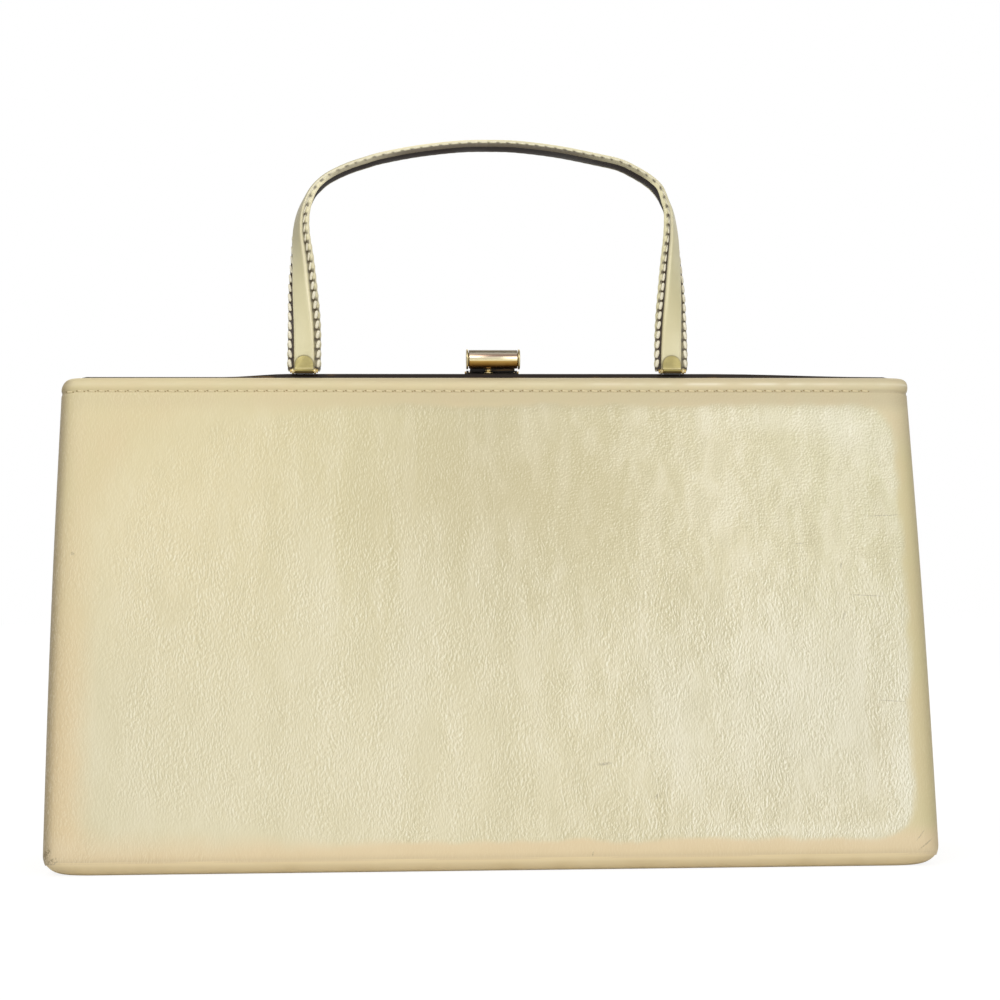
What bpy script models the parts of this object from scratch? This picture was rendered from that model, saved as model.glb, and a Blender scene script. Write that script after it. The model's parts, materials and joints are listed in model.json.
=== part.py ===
"""A framed top handle bag: stiff leather panels, hinged frame, lift clasp and strap handle."""
import math

import bmesh
import bpy
from mathutils import Matrix, Vector

# Body: an A-shaped bag that stands on its base, front towards -Y.
base_width = 0.301
top_narrowing = 0.0085
base_depth = 0.076
leather_height = 0.167
base_rim_height = 0.0042
base_edge_round = 0.0034
corner_step_height = 0.0045
corner_step_inset = 0.0010

# Sheets, and the gap kept between neighbours.
leather_thickness = 0.0012
board_thickness = 0.0015
base_board_thickness = 0.0020
lining_thickness = 0.0007
binding_thickness = 0.0012
pocket_thickness = 0.0005
fit_gap = 0.0003

# Panels.
panel_rim_depth = 0.0058
panel_edge_round = 0.0044
board_side_margin = 0.0042
board_foot_margin = 0.0010
lining_side_margin = 0.0060
lining_foot_margin = 0.0016
lining_top_margin = 0.0115
binding_height = 0.0140
binding_side_margin = 0.0062
pocket_width = 0.140
pocket_height = 0.085
pocket_top_margin = 0.036

# Gusset leaves: one on each panel, folded inwards to the middle of the side.
gusset_thickness = 0.0009
gusset_seat_depth = 0.0048
gusset_foot_height = 0.0072
gusset_top_margin = 0.0190
gusset_fold_foot_depth = 0.0050
gusset_fold_top_depth = 0.0270
gusset_fold_clearance = 0.0009
gusset_rows = 6

# Frame: two U shaped metal halves, side by side, pivoted low on their legs.
frame_stand = 0.0013
frame_bar_thickness = 0.0032
frame_bar_height = 0.0098
frame_leg_thickness = 0.0014
frame_leg_inset = 0.0036
frame_corner_round = 0.0040
frame_pivot_drop = 0.042
frame_eye_radius = 0.0039
rivet_radius = 0.0012
rivet_running_clearance = 0.0012
rivet_head_radius = 0.0033
rivet_head_thickness = 0.0007

# Hinge knuckles, the same for the handle and the clasp.
knuckle_radius = 0.00095
knuckle_pin_radius = 0.00040
knuckle_pin_clearance = 0.00015
bracket_plate_thickness = 0.0004
bracket_ear_thickness = 0.0008
bracket_side_inset = 0.0003
bracket_arm_inset = 0.0001
pin_head_radius = 0.00070
pin_head_thickness = 0.0004

# Handle.
handle_span = 0.128
handle_rise = 0.0788
handle_width = 0.0118
handle_thickness = 0.0032
handle_wall = 0.0010
handle_core_thickness = 0.0010
handle_crown = 0.0003
handle_edge_chamfer = 0.0006
handle_knuckle_length = 0.0062
end_plate_width = 0.0063
end_plate_thickness = 0.0005
end_plate_height = 0.0054
handle_path_shares = (
    (-1.0, 0.0), (-1.0, 0.2), (-1.008, 0.356), (-1.013, 0.485), (-1.019, 0.604), (-1.004, 0.693),
    (-0.969, 0.762), (-0.936, 0.802), (-0.885, 0.842), (-0.821, 0.873), (-0.743, 0.901), (-0.661, 0.923),
    (-0.578, 0.943), (-0.384, 0.974), (-0.155, 0.996), (0.02, 1.0), (0.171, 0.996), (0.389, 0.975),
    (0.611, 0.94), (0.722, 0.919), (0.801, 0.889), (0.875, 0.853), (0.932, 0.811), (0.968, 0.752),
    (0.992, 0.7), (1.006, 0.6), (1.007, 0.5), (1.006, 0.35), (1.002, 0.2), (1.0, 0.0))
handle_steps_per_point = 3
twist_start_share = 0.08
twist_end_share = 0.81

# Clasp: a tube on a flap that closes over a post.
tube_length = 0.0168
tube_radius = 0.00325
tube_wall = 0.0006
tube_offset = 0.0015
tube_lift = 0.00315
tube_cap_radius = 0.0035
tube_cap_thickness = 0.0006
tube_cap_spigot = 0.0018
flap_thickness = 0.0008
flap_width = 0.0156
flap_back_height = 0.0042
post_foot_radius = 0.0016
post_waist_radius = 0.0008
post_head_radius = 0.0013

cut_overrun = 0.002
round_sides = 32
small_round_sides = 24

base_half_depth = base_depth / 2
top_width = base_width - top_narrowing
top_half_depth = (fit_gap / 2 + frame_bar_thickness + fit_gap + binding_thickness + fit_gap
                  + leather_thickness)
slant = math.atan2(base_half_depth - top_half_depth, leather_height - base_rim_height)
panel_length = (leather_height - base_rim_height) / math.cos(slant)
frame_top = leather_height + frame_stand
bar_centre = fit_gap / 2 + frame_bar_thickness / 2
bar_outer = fit_gap / 2 + frame_bar_thickness
frame_half_width = top_width / 2 - frame_leg_inset
pivot_height = leather_height - frame_pivot_drop
plate_base = frame_top + fit_gap
plate_top = plate_base + bracket_plate_thickness
strap_foot = plate_top + fit_gap
strap_face = bar_centre + handle_thickness / 2 + handle_crown
knuckle_out = strap_face + fit_gap + knuckle_radius
knuckle_height = strap_foot - fit_gap + knuckle_pin_clearance
tube_centre = Vector((tube_offset, -bar_centre - post_head_radius, leather_height + tube_lift + tube_radius))
lay_flat = Matrix.Rotation(-math.pi / 2, 4, "X")


def linear_colour(code):
    """An sRGB hex colour as linear red, green, blue, alpha."""
    parts = [int(code[i:i + 2], 16) / 255 for i in (1, 3, 5)]
    return [((c + 0.055) / 1.055) ** 2.4 if c > 0.04045 else c / 12.92 for c in parts] + [1.0]


def make_material(name, code, roughness, metallic=0.0):
    material = bpy.data.materials.new(name)
    material.use_nodes = True
    shader = material.node_tree.nodes["Principled BSDF"]
    shader.inputs["Base Color"].default_value = linear_colour(code)
    shader.inputs["Roughness"].default_value = roughness
    shader.inputs["Metallic"].default_value = metallic
    material.diffuse_color = linear_colour(code)
    return material


def clear_scene():
    for scene_object in list(bpy.data.objects):
        bpy.data.objects.remove(scene_object, do_unlink=True)


def make_collection(name):
    collection = bpy.data.collections.new(name)
    bpy.context.scene.collection.children.link(collection)
    return collection


def add_pivot(name, location, rotation=None, parent=None):
    """An empty that carries a body, on its joint's axis."""
    pivot = bpy.data.objects.new(name, None)
    bag.objects.link(pivot)
    turn = rotation if rotation is not None else Matrix.Identity(4)
    world = Matrix.Translation(location) @ turn
    if parent:
        pivot.parent = parent
        pivot.matrix_parent_inverse = placed[parent.name].inverted()
    pivot.matrix_basis = world
    placed[name] = world
    return pivot


def add_object(name, mesh, material, parent, in_panel=False):
    """A piece in world coordinates, or in its panel's own, carried by a pivot."""
    piece = bpy.data.objects.new(name, mesh)
    bag.objects.link(piece)
    mesh.materials.append(material)
    piece.parent = parent
    if not in_panel:
        piece.matrix_parent_inverse = placed[parent.name].inverted()
    return piece


def mesh_from(name, shape):
    mesh = bpy.data.meshes.new(name)
    shape.to_mesh(mesh)
    shape.free()
    return mesh


def box_mesh(name, low, high):
    """A box between two corners."""
    shape = bmesh.new()
    low, high = Vector(low), Vector(high)
    bmesh.ops.create_cube(shape, size=1.0)
    bmesh.ops.scale(shape, vec=high - low, verts=shape.verts)
    bmesh.ops.translate(shape, vec=(high + low) / 2, verts=shape.verts)
    return mesh_from(name, shape)


def rod_mesh(name, radius, start, length, sides=small_round_sides):
    """A cylinder that runs along X from its start point."""
    shape = bmesh.new()
    bmesh.ops.create_cone(shape, cap_ends=True, segments=sides, radius1=radius, radius2=radius,
                          depth=length)
    bmesh.ops.rotate(shape, cent=(0, 0, 0), matrix=Matrix.Rotation(math.pi / 2, 3, "Y"), verts=shape.verts)
    bmesh.ops.translate(shape, vec=Vector(start) + Vector((length / 2, 0, 0)), verts=shape.verts)
    return mesh_from(name, shape)


def outline_mesh(name, points, thickness):
    """A flat outline in X and Z, extruded along Y about y = 0."""
    shape = bmesh.new()
    ring = [shape.verts.new((x, -thickness / 2, z)) for x, z in points]
    face = shape.faces.new(ring)
    pushed = bmesh.ops.extrude_face_region(shape, geom=[face])["geom"]
    verts = [item for item in pushed if isinstance(item, bmesh.types.BMVert)]
    bmesh.ops.translate(shape, vec=(0, thickness, 0), verts=verts)
    bmesh.ops.recalc_face_normals(shape, faces=shape.faces)
    return mesh_from(name, shape)


def add_bevel(piece, width, segments=2, angle=math.radians(40)):
    bevel = piece.modifiers.new("rounded_edges", "BEVEL")
    bevel.width = width
    bevel.segments = segments
    bevel.limit_method = "ANGLE"
    bevel.angle_limit = angle
    bevel.harden_normals = False


def add_wall(piece, thickness, offset=-1):
    wall = piece.modifiers.new("wall", "SOLIDIFY")
    wall.thickness = thickness
    wall.offset = offset
    wall.use_even_offset = True


def add_turning(piece, sides=round_sides):
    turning = piece.modifiers.new("turning", "SCREW")
    turning.axis = "Z"
    turning.steps = sides
    turning.render_steps = sides
    turning.use_merge_vertices = True
    turning.merge_threshold = fit_gap / 10


def cut_with(piece, mesh, operation="DIFFERENCE"):
    """Join or cut a piece with a mesh in the same coordinates."""
    tool = bpy.data.objects.new(piece.name + "_" + mesh.name, mesh)
    tools.objects.link(tool)
    tool.hide_render = True
    tool.display_type = "WIRE"
    step = piece.modifiers.new(mesh.name, "BOOLEAN")
    step.operation = operation
    step.object = tool
    step.solver = "EXACT"


def smooth_rounds(piece):
    piece.data.shade_smooth()
    piece.data.set_sharp_from_angle(angle=math.radians(35))


def panel_half_width(height):
    """Half the panel's width at a distance up its face from the hinge."""
    slope = top_narrowing / 2 / panel_length
    foot_share = max(0.0, 1 - height / corner_step_height)
    return base_width / 2 - slope * height - corner_step_inset * foot_share ** 2


def to_panel(depth, height):
    """Distance in from the bag's outer foot edge and height, as a panel's own Y and Z."""
    rise = height - base_rim_height
    return (depth * math.cos(slant) - rise * math.sin(slant),
            depth * math.sin(slant) + rise * math.cos(slant))


def panel_sheet_mesh(name, depth, thickness, foot, top, margin):
    """A flat sheet that follows the panel's tapering width."""
    shape = bmesh.new()
    bmesh.ops.create_cube(shape, size=1.0)
    for vert in shape.verts:
        height = foot if vert.co.z < 0 else top
        side = math.copysign(1, vert.co.x)
        inward = depth if vert.co.y < 0 else depth + thickness
        vert.co = (side * (panel_half_width(height) - margin), inward, height)
    return mesh_from(name, shape)


def add_panel_leather(name, pivot):
    """The outer leather: a shallow tray with turned side edges."""
    shape = bmesh.new()
    heights = [fit_gap, corner_step_height / 2, corner_step_height, panel_length / 2, panel_length]
    rows = []
    for height in heights:
        half = panel_half_width(height)
        rows.append([shape.verts.new((side * half, 0, height)) for side in (-1, 0, 1)])
    for lower, upper in zip(rows, rows[1:]):
        for i in range(len(lower) - 1):
            shape.faces.new((lower[i], lower[i + 1], upper[i + 1], upper[i]))
    sides = [edge for edge in shape.edges if edge.is_boundary and all(abs(v.co.x) > base_width / 4
                                                                      for v in edge.verts)]
    rim = bmesh.ops.extrude_edge_only(shape, edges=sides)["geom"]
    rim_verts = [item for item in rim if isinstance(item, bmesh.types.BMVert)]
    bmesh.ops.translate(shape, vec=(0, panel_rim_depth, 0), verts=rim_verts)
    for vert in rim_verts:
        if vert.co.z < corner_step_height / 2:
            vert.co.z += panel_rim_depth * math.tan(slant)
    bmesh.ops.recalc_face_normals(shape, faces=shape.faces)
    if sum(face.normal.y for face in shape.faces) > 0:
        bmesh.ops.reverse_faces(shape, faces=shape.faces)
    piece = add_object(name, mesh_from(name, shape), leather, pivot, in_panel=True)
    add_bevel(piece, panel_edge_round, segments=4)
    add_wall(piece, leather_thickness)
    return piece


def add_gusset_leaf(name, pivot, side):
    """Half of a side gusset, from its seam inside the panel's edge to the fold."""
    foot = gusset_foot_height
    top = leather_height - gusset_top_margin
    shape = bmesh.new()
    rows = []
    for i in range(gusset_rows + 1):
        share = i / gusset_rows
        height = foot + (top - foot) * share
        fold_depth = gusset_fold_foot_depth + (gusset_fold_top_depth - gusset_fold_foot_depth) * share
        along = (height - base_rim_height) / math.cos(slant)
        outer_x = panel_half_width(along) - leather_thickness - fit_gap - gusset_thickness
        fold_y, fold_z = to_panel(base_half_depth - gusset_fold_clearance, height)
        outer = Vector((side * outer_x, gusset_seat_depth, along))
        fold = Vector((side * (outer_x - fold_depth), fold_y, fold_z))
        rows.append([shape.verts.new(outer), shape.verts.new(fold)])
    for lower, upper in zip(rows, rows[1:]):
        shape.faces.new((lower[0], lower[1], upper[1], upper[0]))
    piece = add_object(name, mesh_from(name, shape), side_leather, pivot, in_panel=True)
    add_wall(piece, gusset_thickness, offset=0)
    return piece


def build_base():
    """The bottom: a low leather tray, a stiff board in it and the lining over that."""
    half_x = panel_half_width(0)
    shape = bmesh.new()
    bmesh.ops.create_cube(shape, size=1.0)
    bmesh.ops.scale(shape, vec=(2 * half_x, base_depth, base_rim_height), verts=shape.verts)
    bmesh.ops.translate(shape, vec=(0, 0, base_rim_height / 2), verts=shape.verts)
    lid = [face for face in shape.faces if face.normal.z > 0.5]
    bmesh.ops.delete(shape, geom=lid, context="FACES_ONLY")
    piece = add_object("bottom_leather", mesh_from("bottom_leather", shape), side_leather, base_pivot)
    add_bevel(piece, base_edge_round, segments=3)
    add_wall(piece, leather_thickness)
    margin = leather_thickness + base_edge_round
    board_foot = leather_thickness + fit_gap
    board_top = board_foot + base_board_thickness
    half_y = base_half_depth
    mesh = box_mesh("bottom_board", (margin - half_x, margin - half_y, board_foot),
                    (half_x - margin, half_y - margin, board_top))
    add_object("bottom_board", mesh, card, base_pivot)
    lining_foot = board_top + fit_gap
    mesh = box_mesh("bottom_lining", (margin - half_x, margin - half_y, lining_foot),
                    (half_x - margin, half_y - margin, lining_foot + lining_thickness))
    add_object("bottom_lining", mesh, cloth, base_pivot)


def build_panel(face, pivot, turn):
    """The front or rear wall with its board, binding, lining and gusset leaves."""
    add_panel_leather(face + "_leather", pivot)
    board_depth = leather_thickness + fit_gap
    board_top = panel_length - binding_height - fit_gap
    mesh = panel_sheet_mesh(face + "_board", board_depth, board_thickness, board_foot_margin, board_top,
                            board_side_margin)
    add_object(face + "_board", mesh, card, pivot, in_panel=True)
    mesh = panel_sheet_mesh(face + "_top_binding", board_depth, binding_thickness,
                            panel_length - binding_height, panel_length, binding_side_margin)
    add_object(face + "_top_binding", mesh, leather, pivot, in_panel=True)
    lining_depth = board_depth + board_thickness + fit_gap
    mesh = panel_sheet_mesh(face + "_lining", lining_depth, lining_thickness, lining_foot_margin,
                            panel_length - lining_top_margin, lining_side_margin)
    add_object(face + "_lining", mesh, cloth, pivot, in_panel=True)
    for side_name, side in (("left", -1), ("right", 1)):
        add_gusset_leaf("gusset_" + side_name + "_" + face, pivot, side * turn)
    return lining_depth + lining_thickness


def build_pocket(depth):
    """A flat slip pocket sewn on the rear lining."""
    top = panel_length - pocket_top_margin
    mesh = box_mesh("slip_pocket", (-pocket_width / 2, depth + fit_gap, top - pocket_height),
                    (pocket_width / 2, depth + fit_gap + pocket_thickness, top))
    add_object("slip_pocket", mesh, cloth, rear_panel_pivot, in_panel=True)


def frame_outline(half_width):
    """The frame half seen from the front: a top bar and two legs, with rounded top corners."""
    inner = half_width - frame_leg_thickness
    points = [(half_width, pivot_height)]
    for i in range(5):
        angle = math.pi / 2 * i / 4
        points.append((half_width - frame_corner_round * (1 - math.cos(angle)),
                       frame_top - frame_corner_round * (1 - math.sin(angle))))
    outer = points + [(-x, z) for x, z in reversed(points)]
    bar_foot = frame_top - frame_bar_height
    return outer + [(-inner, pivot_height), (-inner, bar_foot), (inner, bar_foot), (inner, pivot_height)]


def build_frame(name, half_width, way, hole_radius, pivot):
    """One frame half: the U shaped bar with a pivot eye at each foot."""
    mesh = outline_mesh(name, frame_outline(half_width), frame_bar_thickness)
    mesh.transform(Matrix.Translation((0, way * bar_centre, 0)))
    piece = add_object(name, mesh, frame_metal, pivot)
    for side_name, side in (("left", -1), ("right", 1)):
        middle = side * (half_width - frame_leg_thickness / 2)
        eye = rod_mesh(side_name + "_eye", frame_eye_radius,
                       (middle - frame_leg_thickness / 2, 0, pivot_height), frame_leg_thickness, round_sides)
        cut_with(piece, eye, "UNION")
        hole = rod_mesh(side_name + "_hole", hole_radius, (middle - cut_overrun, 0, pivot_height),
                        2 * cut_overrun, round_sides)
        cut_with(piece, hole)
    smooth_rounds(piece)


def build_rivet(name, side):
    """The frame's side rivet: inner head, shank through both eyes, outer head."""
    inner_face = frame_half_width - 2 * frame_leg_thickness - 2 * fit_gap
    outer_face = frame_half_width + fit_gap
    length = outer_face - inner_face
    half = length / 2 + rivet_head_thickness
    profile = [(0, half), (rivet_head_radius, half), (rivet_head_radius, length / 2),
               (rivet_radius, length / 2), (rivet_radius, -length / 2),
               (2 * rivet_radius, -length / 2), (2 * rivet_radius, -half), (0, -half)]
    place = Vector((side * (outer_face + inner_face) / 2, 0, pivot_height))
    add_turned(name, profile, place, side, gilt, rear_frame_pivot)


def add_turned(name, profile, place, side, material, pivot):
    """A turned piece with its axis along X, its first end facing the given side."""
    shape = bmesh.new()
    verts = [shape.verts.new((radius, 0, height)) for radius, height in profile]
    for first, second in zip(verts, verts[1:]):
        shape.edges.new((first, second))
    piece = add_object(name, mesh_from(name, shape), material, pivot)
    piece.matrix_basis = Matrix.Translation(place) @ Matrix.Rotation(side * math.pi / 2, 4, "Y")
    add_turning(piece, small_round_sides)
    smooth_rounds(piece)
    return piece


def build_bracket(name, middle, way, knuckle_length, pivot, metal):
    """A hinge bracket: a plate on the frame's top with an ear at each end of the knuckle."""
    ear_inner = knuckle_length / 2 + fit_gap
    ear_outer = ear_inner + bracket_ear_thickness
    rear = way * (bar_outer - frame_bar_thickness + bracket_side_inset)
    front = way * (bar_outer - bracket_side_inset)
    tip = way * knuckle_out
    inner, outer = ear_inner + bracket_arm_inset, ear_outer - bracket_arm_inset
    plan = [(-outer, rear), (outer, rear), (outer, tip), (inner, tip), (inner, front), (-inner, front),
            (-inner, tip), (-outer, tip)]
    mesh = outline_mesh(name, [(middle + x, y) for x, y in plan], bracket_plate_thickness)
    mesh.transform(Matrix.Translation((0, 0, (plate_base + plate_top) / 2)) @ lay_flat)
    piece = add_object(name, mesh, metal, pivot)
    for side_name, side in (("left", -1), ("right", 1)):
        start = middle + (ear_inner if side > 0 else -ear_outer)
        axis = Vector((start, way * knuckle_out, knuckle_height))
        cut_with(piece, rod_mesh(side_name + "_ear", knuckle_radius, axis, bracket_ear_thickness), "UNION")
    hole_radius = knuckle_pin_radius + knuckle_pin_clearance
    bore = rod_mesh("bore", hole_radius,
                    (middle - ear_outer - cut_overrun, way * knuckle_out, knuckle_height),
                    2 * (ear_outer + cut_overrun))
    cut_with(piece, bore)
    return ear_outer


def build_pin(name, middle, way, ear_outer, pivot):
    """A hinge pin with a small head outside each ear."""
    half = ear_outer + fit_gap / 2
    tip = half + pin_head_thickness
    profile = [(0, tip), (pin_head_radius, tip), (pin_head_radius, half), (knuckle_pin_radius, half),
               (knuckle_pin_radius, -half), (pin_head_radius, -half), (pin_head_radius, -tip), (0, -tip)]
    add_turned(name, profile, Vector((middle, way * knuckle_out, knuckle_height)), 1, gilt, pivot)


def cut_knuckle(piece, middle, way, length):
    """Join the barrel to a leaf and drill it for the pin."""
    axis = Vector((middle, way * knuckle_out, knuckle_height))
    along = Vector((length / 2, 0, 0))
    cut_with(piece, rod_mesh("barrel", knuckle_radius, axis - along, length), "UNION")
    overrun = Vector((length / 2 + cut_overrun, 0, 0))
    cut_with(piece, rod_mesh("drill", knuckle_pin_radius + knuckle_pin_clearance, axis - overrun,
                             length + 2 * cut_overrun))


def build_handle_end(name, middle):
    """A half round end plate in front of the strap, curled into the hinge barrel."""
    half = end_plate_width / 2
    shoulder = knuckle_height + end_plate_height - half
    points = [(middle - half, knuckle_height), (middle + half, knuckle_height)]
    for i in range(13):
        angle = math.pi * i / 12
        points.append((middle + half * math.cos(angle), shoulder + half * math.sin(angle)))
    mesh = outline_mesh(name, points, end_plate_thickness)
    mesh.transform(Matrix.Translation((0, -(strap_face + fit_gap + end_plate_thickness / 2), 0)))
    piece = add_object(name, mesh, gilt, handle_pivot)
    cut_knuckle(piece, middle, -1, handle_knuckle_length)


def handle_points():
    """The handle's centre line, from the left foot to the right one."""
    half = handle_span / 2
    marks = [Vector((half * x, -bar_centre, strap_foot + handle_rise * z)) for x, z in handle_path_shares]
    marks = [2 * marks[0] - marks[1]] + marks + [2 * marks[-1] - marks[-2]]
    points = []
    for i in range(1, len(marks) - 2):
        before, start, end, after = marks[i - 1:i + 3]
        for step in range(handle_steps_per_point):
            t = step / handle_steps_per_point
            points.append(0.5 * (2 * start + (end - before) * t
                                 + (2 * before - 5 * start + 4 * end - after) * t ** 2
                                 + (3 * start - before - 3 * end + after) * t ** 3))
    points.append(marks[-2])
    return points


def handle_tilt(point):
    """Facing forward at the feet, turned to face outward and up along the arch."""
    share = (point.z - strap_foot) / handle_rise
    turned = (share - twist_start_share) / (twist_end_share - twist_start_share)
    return math.pi / 2 * (1 - min(1.0, max(0.0, turned)))


def add_strap_layer(name, profile_points, material):
    """One layer of the strap: a section swept along the handle and turned into a mesh."""
    section = bpy.data.curves.new(name + "_section", "CURVE")
    section.dimensions = "2D"
    line = section.splines.new("POLY")
    line.points.add(len(profile_points) - 1)
    for point, (across, outward) in zip(line.points, profile_points):
        point.co = (across, outward, 0, 1)
    line.use_cyclic_u = True
    section_object = bpy.data.objects.new(name + "_section", section)
    tools.objects.link(section_object)
    path = bpy.data.curves.new(name + "_path", "CURVE")
    path.dimensions = "3D"
    places = handle_points()
    line = path.splines.new("POLY")
    line.points.add(len(places) - 1)
    for point, place in zip(line.points, places):
        point.co = (*place, 1)
        point.tilt = handle_tilt(place)
    path.bevel_mode = "OBJECT"
    path.bevel_object = section_object
    path.use_fill_caps = True
    path_object = bpy.data.objects.new(name + "_path", path)
    tools.objects.link(path_object)
    bpy.context.view_layer.update()
    evaluated = path_object.evaluated_get(bpy.context.evaluated_depsgraph_get())
    swept = bpy.data.meshes.new_from_object(evaluated)
    shape = bmesh.new()
    shape.from_mesh(swept)
    bmesh.ops.remove_doubles(shape, verts=shape.verts, dist=fit_gap / 10)
    bmesh.ops.recalc_face_normals(shape, faces=shape.faces)
    bpy.data.objects.remove(path_object)
    bpy.data.objects.remove(section_object)
    bpy.data.meshes.remove(swept)
    return add_object(name, mesh_from(name, shape), material, handle_pivot)


def build_strap():
    """The strap: a folded outer leather, a core inside it and a dark lining beneath."""
    half = handle_width / 2
    inner_half = half - handle_wall
    top = handle_thickness / 2
    web = top - handle_wall
    folded = [(-half, -top), (-inner_half, -top), (-inner_half, web), (-inner_half / 2, web), (0, web),
              (inner_half / 2, web), (inner_half, web), (inner_half, -top), (half, -top),
              (half, top - handle_edge_chamfer), (half - handle_edge_chamfer, top),
              (half / 2, top + handle_crown), (0, top + handle_crown), (-half / 2, top + handle_crown),
              (handle_edge_chamfer - half, top), (-half, top - handle_edge_chamfer)]
    add_strap_layer("handle_strap", folded, leather)
    core_half = inner_half - fit_gap
    core_top = web - fit_gap
    core_foot = core_top - handle_core_thickness
    across = [-core_half, -core_half / 2, 0, core_half / 2, core_half]
    core = [(x, core_foot) for x in across] + [(x, core_top) for x in reversed(across)]
    add_strap_layer("handle_core", core, card)
    under_top = core_foot - fit_gap
    under = [(x, -top) for x in across] + [(x, under_top) for x in reversed(across)]
    add_strap_layer("handle_lining", under, dark_leather)


def build_handle():
    build_strap()
    for side_name, side in (("left", -1), ("right", 1)):
        middle = side * handle_span / 2
        build_handle_end("handle_end_" + side_name, middle)
        ear_outer = build_bracket("handle_bracket_" + side_name, middle, -1, handle_knuckle_length,
                                  front_frame_pivot, gilt)
        build_pin("handle_pin_" + side_name, middle, -1, ear_outer, front_frame_pivot)


def build_clasp():
    """The lift clasp: bracket and flap on the rear frame, tube in front, post on the front frame."""
    ear_outer = build_bracket("clasp_bracket", tube_offset, 1, flap_width, rear_frame_pivot, frame_metal)
    build_pin("clasp_hinge_pin", tube_offset, 1, ear_outer, rear_frame_pivot)
    back_face = tube_centre.y + tube_radius + fit_gap
    half = flap_width / 2
    leaf_top = strap_foot + flap_thickness
    mesh = box_mesh("clasp_flap", (tube_offset - half, back_face, strap_foot),
                    (tube_offset + half, knuckle_out, leaf_top))
    piece = add_object("clasp_flap", mesh, frame_metal, clasp_pivot)
    back = box_mesh("back", (tube_offset - half, back_face, strap_foot),
                    (tube_offset + half, back_face + flap_thickness, strap_foot + flap_back_height))
    cut_with(piece, back, "UNION")
    cut_knuckle(piece, tube_offset, 1, flap_width)
    build_tube()
    build_post()


def build_tube():
    """The clasp's tube, open ended, with a cap on a spigot at each end."""
    shape = bmesh.new()
    bmesh.ops.create_cone(shape, cap_ends=False, segments=round_sides, radius1=tube_radius,
                          radius2=tube_radius, depth=tube_length)
    piece = add_object("clasp_tube", mesh_from("clasp_tube", shape), gilt, clasp_pivot)
    piece.matrix_basis = Matrix.Translation(tube_centre) @ Matrix.Rotation(math.pi / 2, 4, "Y")
    add_wall(piece, tube_wall)
    smooth_rounds(piece)
    spigot_radius = tube_radius - tube_wall - fit_gap
    face = fit_gap
    profile = [(0, face + tube_cap_thickness), (tube_cap_radius, face + tube_cap_thickness),
               (tube_cap_radius, face), (spigot_radius, face), (spigot_radius, -tube_cap_spigot),
               (0, -tube_cap_spigot)]
    for side_name, side in (("left", -1), ("right", 1)):
        place = tube_centre + Vector((side * tube_length / 2, 0, 0))
        add_turned("tube_cap_" + side_name, profile, place, side, gilt, clasp_pivot)


def build_post():
    """The post that the tube closes over: flared foot, narrow waist and a head."""
    top = tube_centre.z - tube_radius - fit_gap
    height = top - plate_base
    profile = [(0, height), (post_head_radius, height), (post_head_radius, height * 3 / 4),
               (post_waist_radius, height / 2), (post_foot_radius, height / 4), (post_foot_radius, 0),
               (0, 0)]
    shape = bmesh.new()
    verts = [shape.verts.new((radius, 0, z)) for radius, z in profile]
    for first, second in zip(verts, verts[1:]):
        shape.edges.new((first, second))
    piece = add_object("clasp_post", mesh_from("clasp_post", shape), gilt, front_frame_pivot)
    piece.matrix_basis = Matrix.Translation((0, -bar_centre, plate_base))
    add_turning(piece, small_round_sides)
    smooth_rounds(piece)


clear_scene()
bag = make_collection("top_handle_bag")
tools = make_collection("cutters")
placed = {}
leather = make_material("cream_leather", "#dccfa8", 0.42)
side_leather = make_material("cream_edge_leather", "#d3c49c", 0.5)
dark_leather = make_material("brown_lining_leather", "#22120b", 0.55)
card = make_material("stiffener_board", "#8a7a5c", 0.9)
cloth = make_material("brown_lining_cloth", "#4a3526", 0.85)
frame_metal = make_material("brown_frame_lacquer", "#2b2016", 0.4)
gilt = make_material("gilt_brass", "#b9a05a", 0.25, 1.0)

lean = Matrix.Rotation(-slant, 4, "X")
about = Matrix.Rotation(math.pi, 4, "Z")
hinge_y = base_half_depth
base_pivot = add_pivot("base_pivot", Vector((0, 0, 0)))
front_panel_pivot = add_pivot("front_panel_pivot", Vector((0, -hinge_y, base_rim_height)), lean, base_pivot)
rear_panel_pivot = add_pivot("rear_panel_pivot", Vector((0, hinge_y, base_rim_height)), about @ lean,
                             base_pivot)
front_frame_pivot = add_pivot("front_frame_pivot", Vector((0, -bar_outer, leather_height)),
                              parent=front_panel_pivot)
rear_frame_pivot = add_pivot("rear_frame_pivot", Vector((0, bar_outer, leather_height)),
                             parent=rear_panel_pivot)
handle_pivot = add_pivot("handle_pivot", Vector((0, -knuckle_out, knuckle_height)),
                         parent=front_frame_pivot)
clasp_pivot = add_pivot("clasp_pivot", Vector((0, knuckle_out, knuckle_height)), parent=rear_frame_pivot)

build_base()
build_panel("front", front_panel_pivot, 1)
lining_face = build_panel("rear", rear_panel_pivot, -1)
build_pocket(lining_face)
build_frame("front_frame", frame_half_width, -1, rivet_radius + rivet_running_clearance, front_frame_pivot)
build_frame("rear_frame", frame_half_width - frame_leg_thickness - 2 * fit_gap, 1, rivet_radius + fit_gap,
            rear_frame_pivot)
build_rivet("frame_rivet_left", -1)
build_rivet("frame_rivet_right", 1)
build_handle()
build_clasp()
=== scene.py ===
import json
import math
from functools import partial

import bpy
import numpy as np
from mathutils import Matrix, Vector, noise


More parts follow.
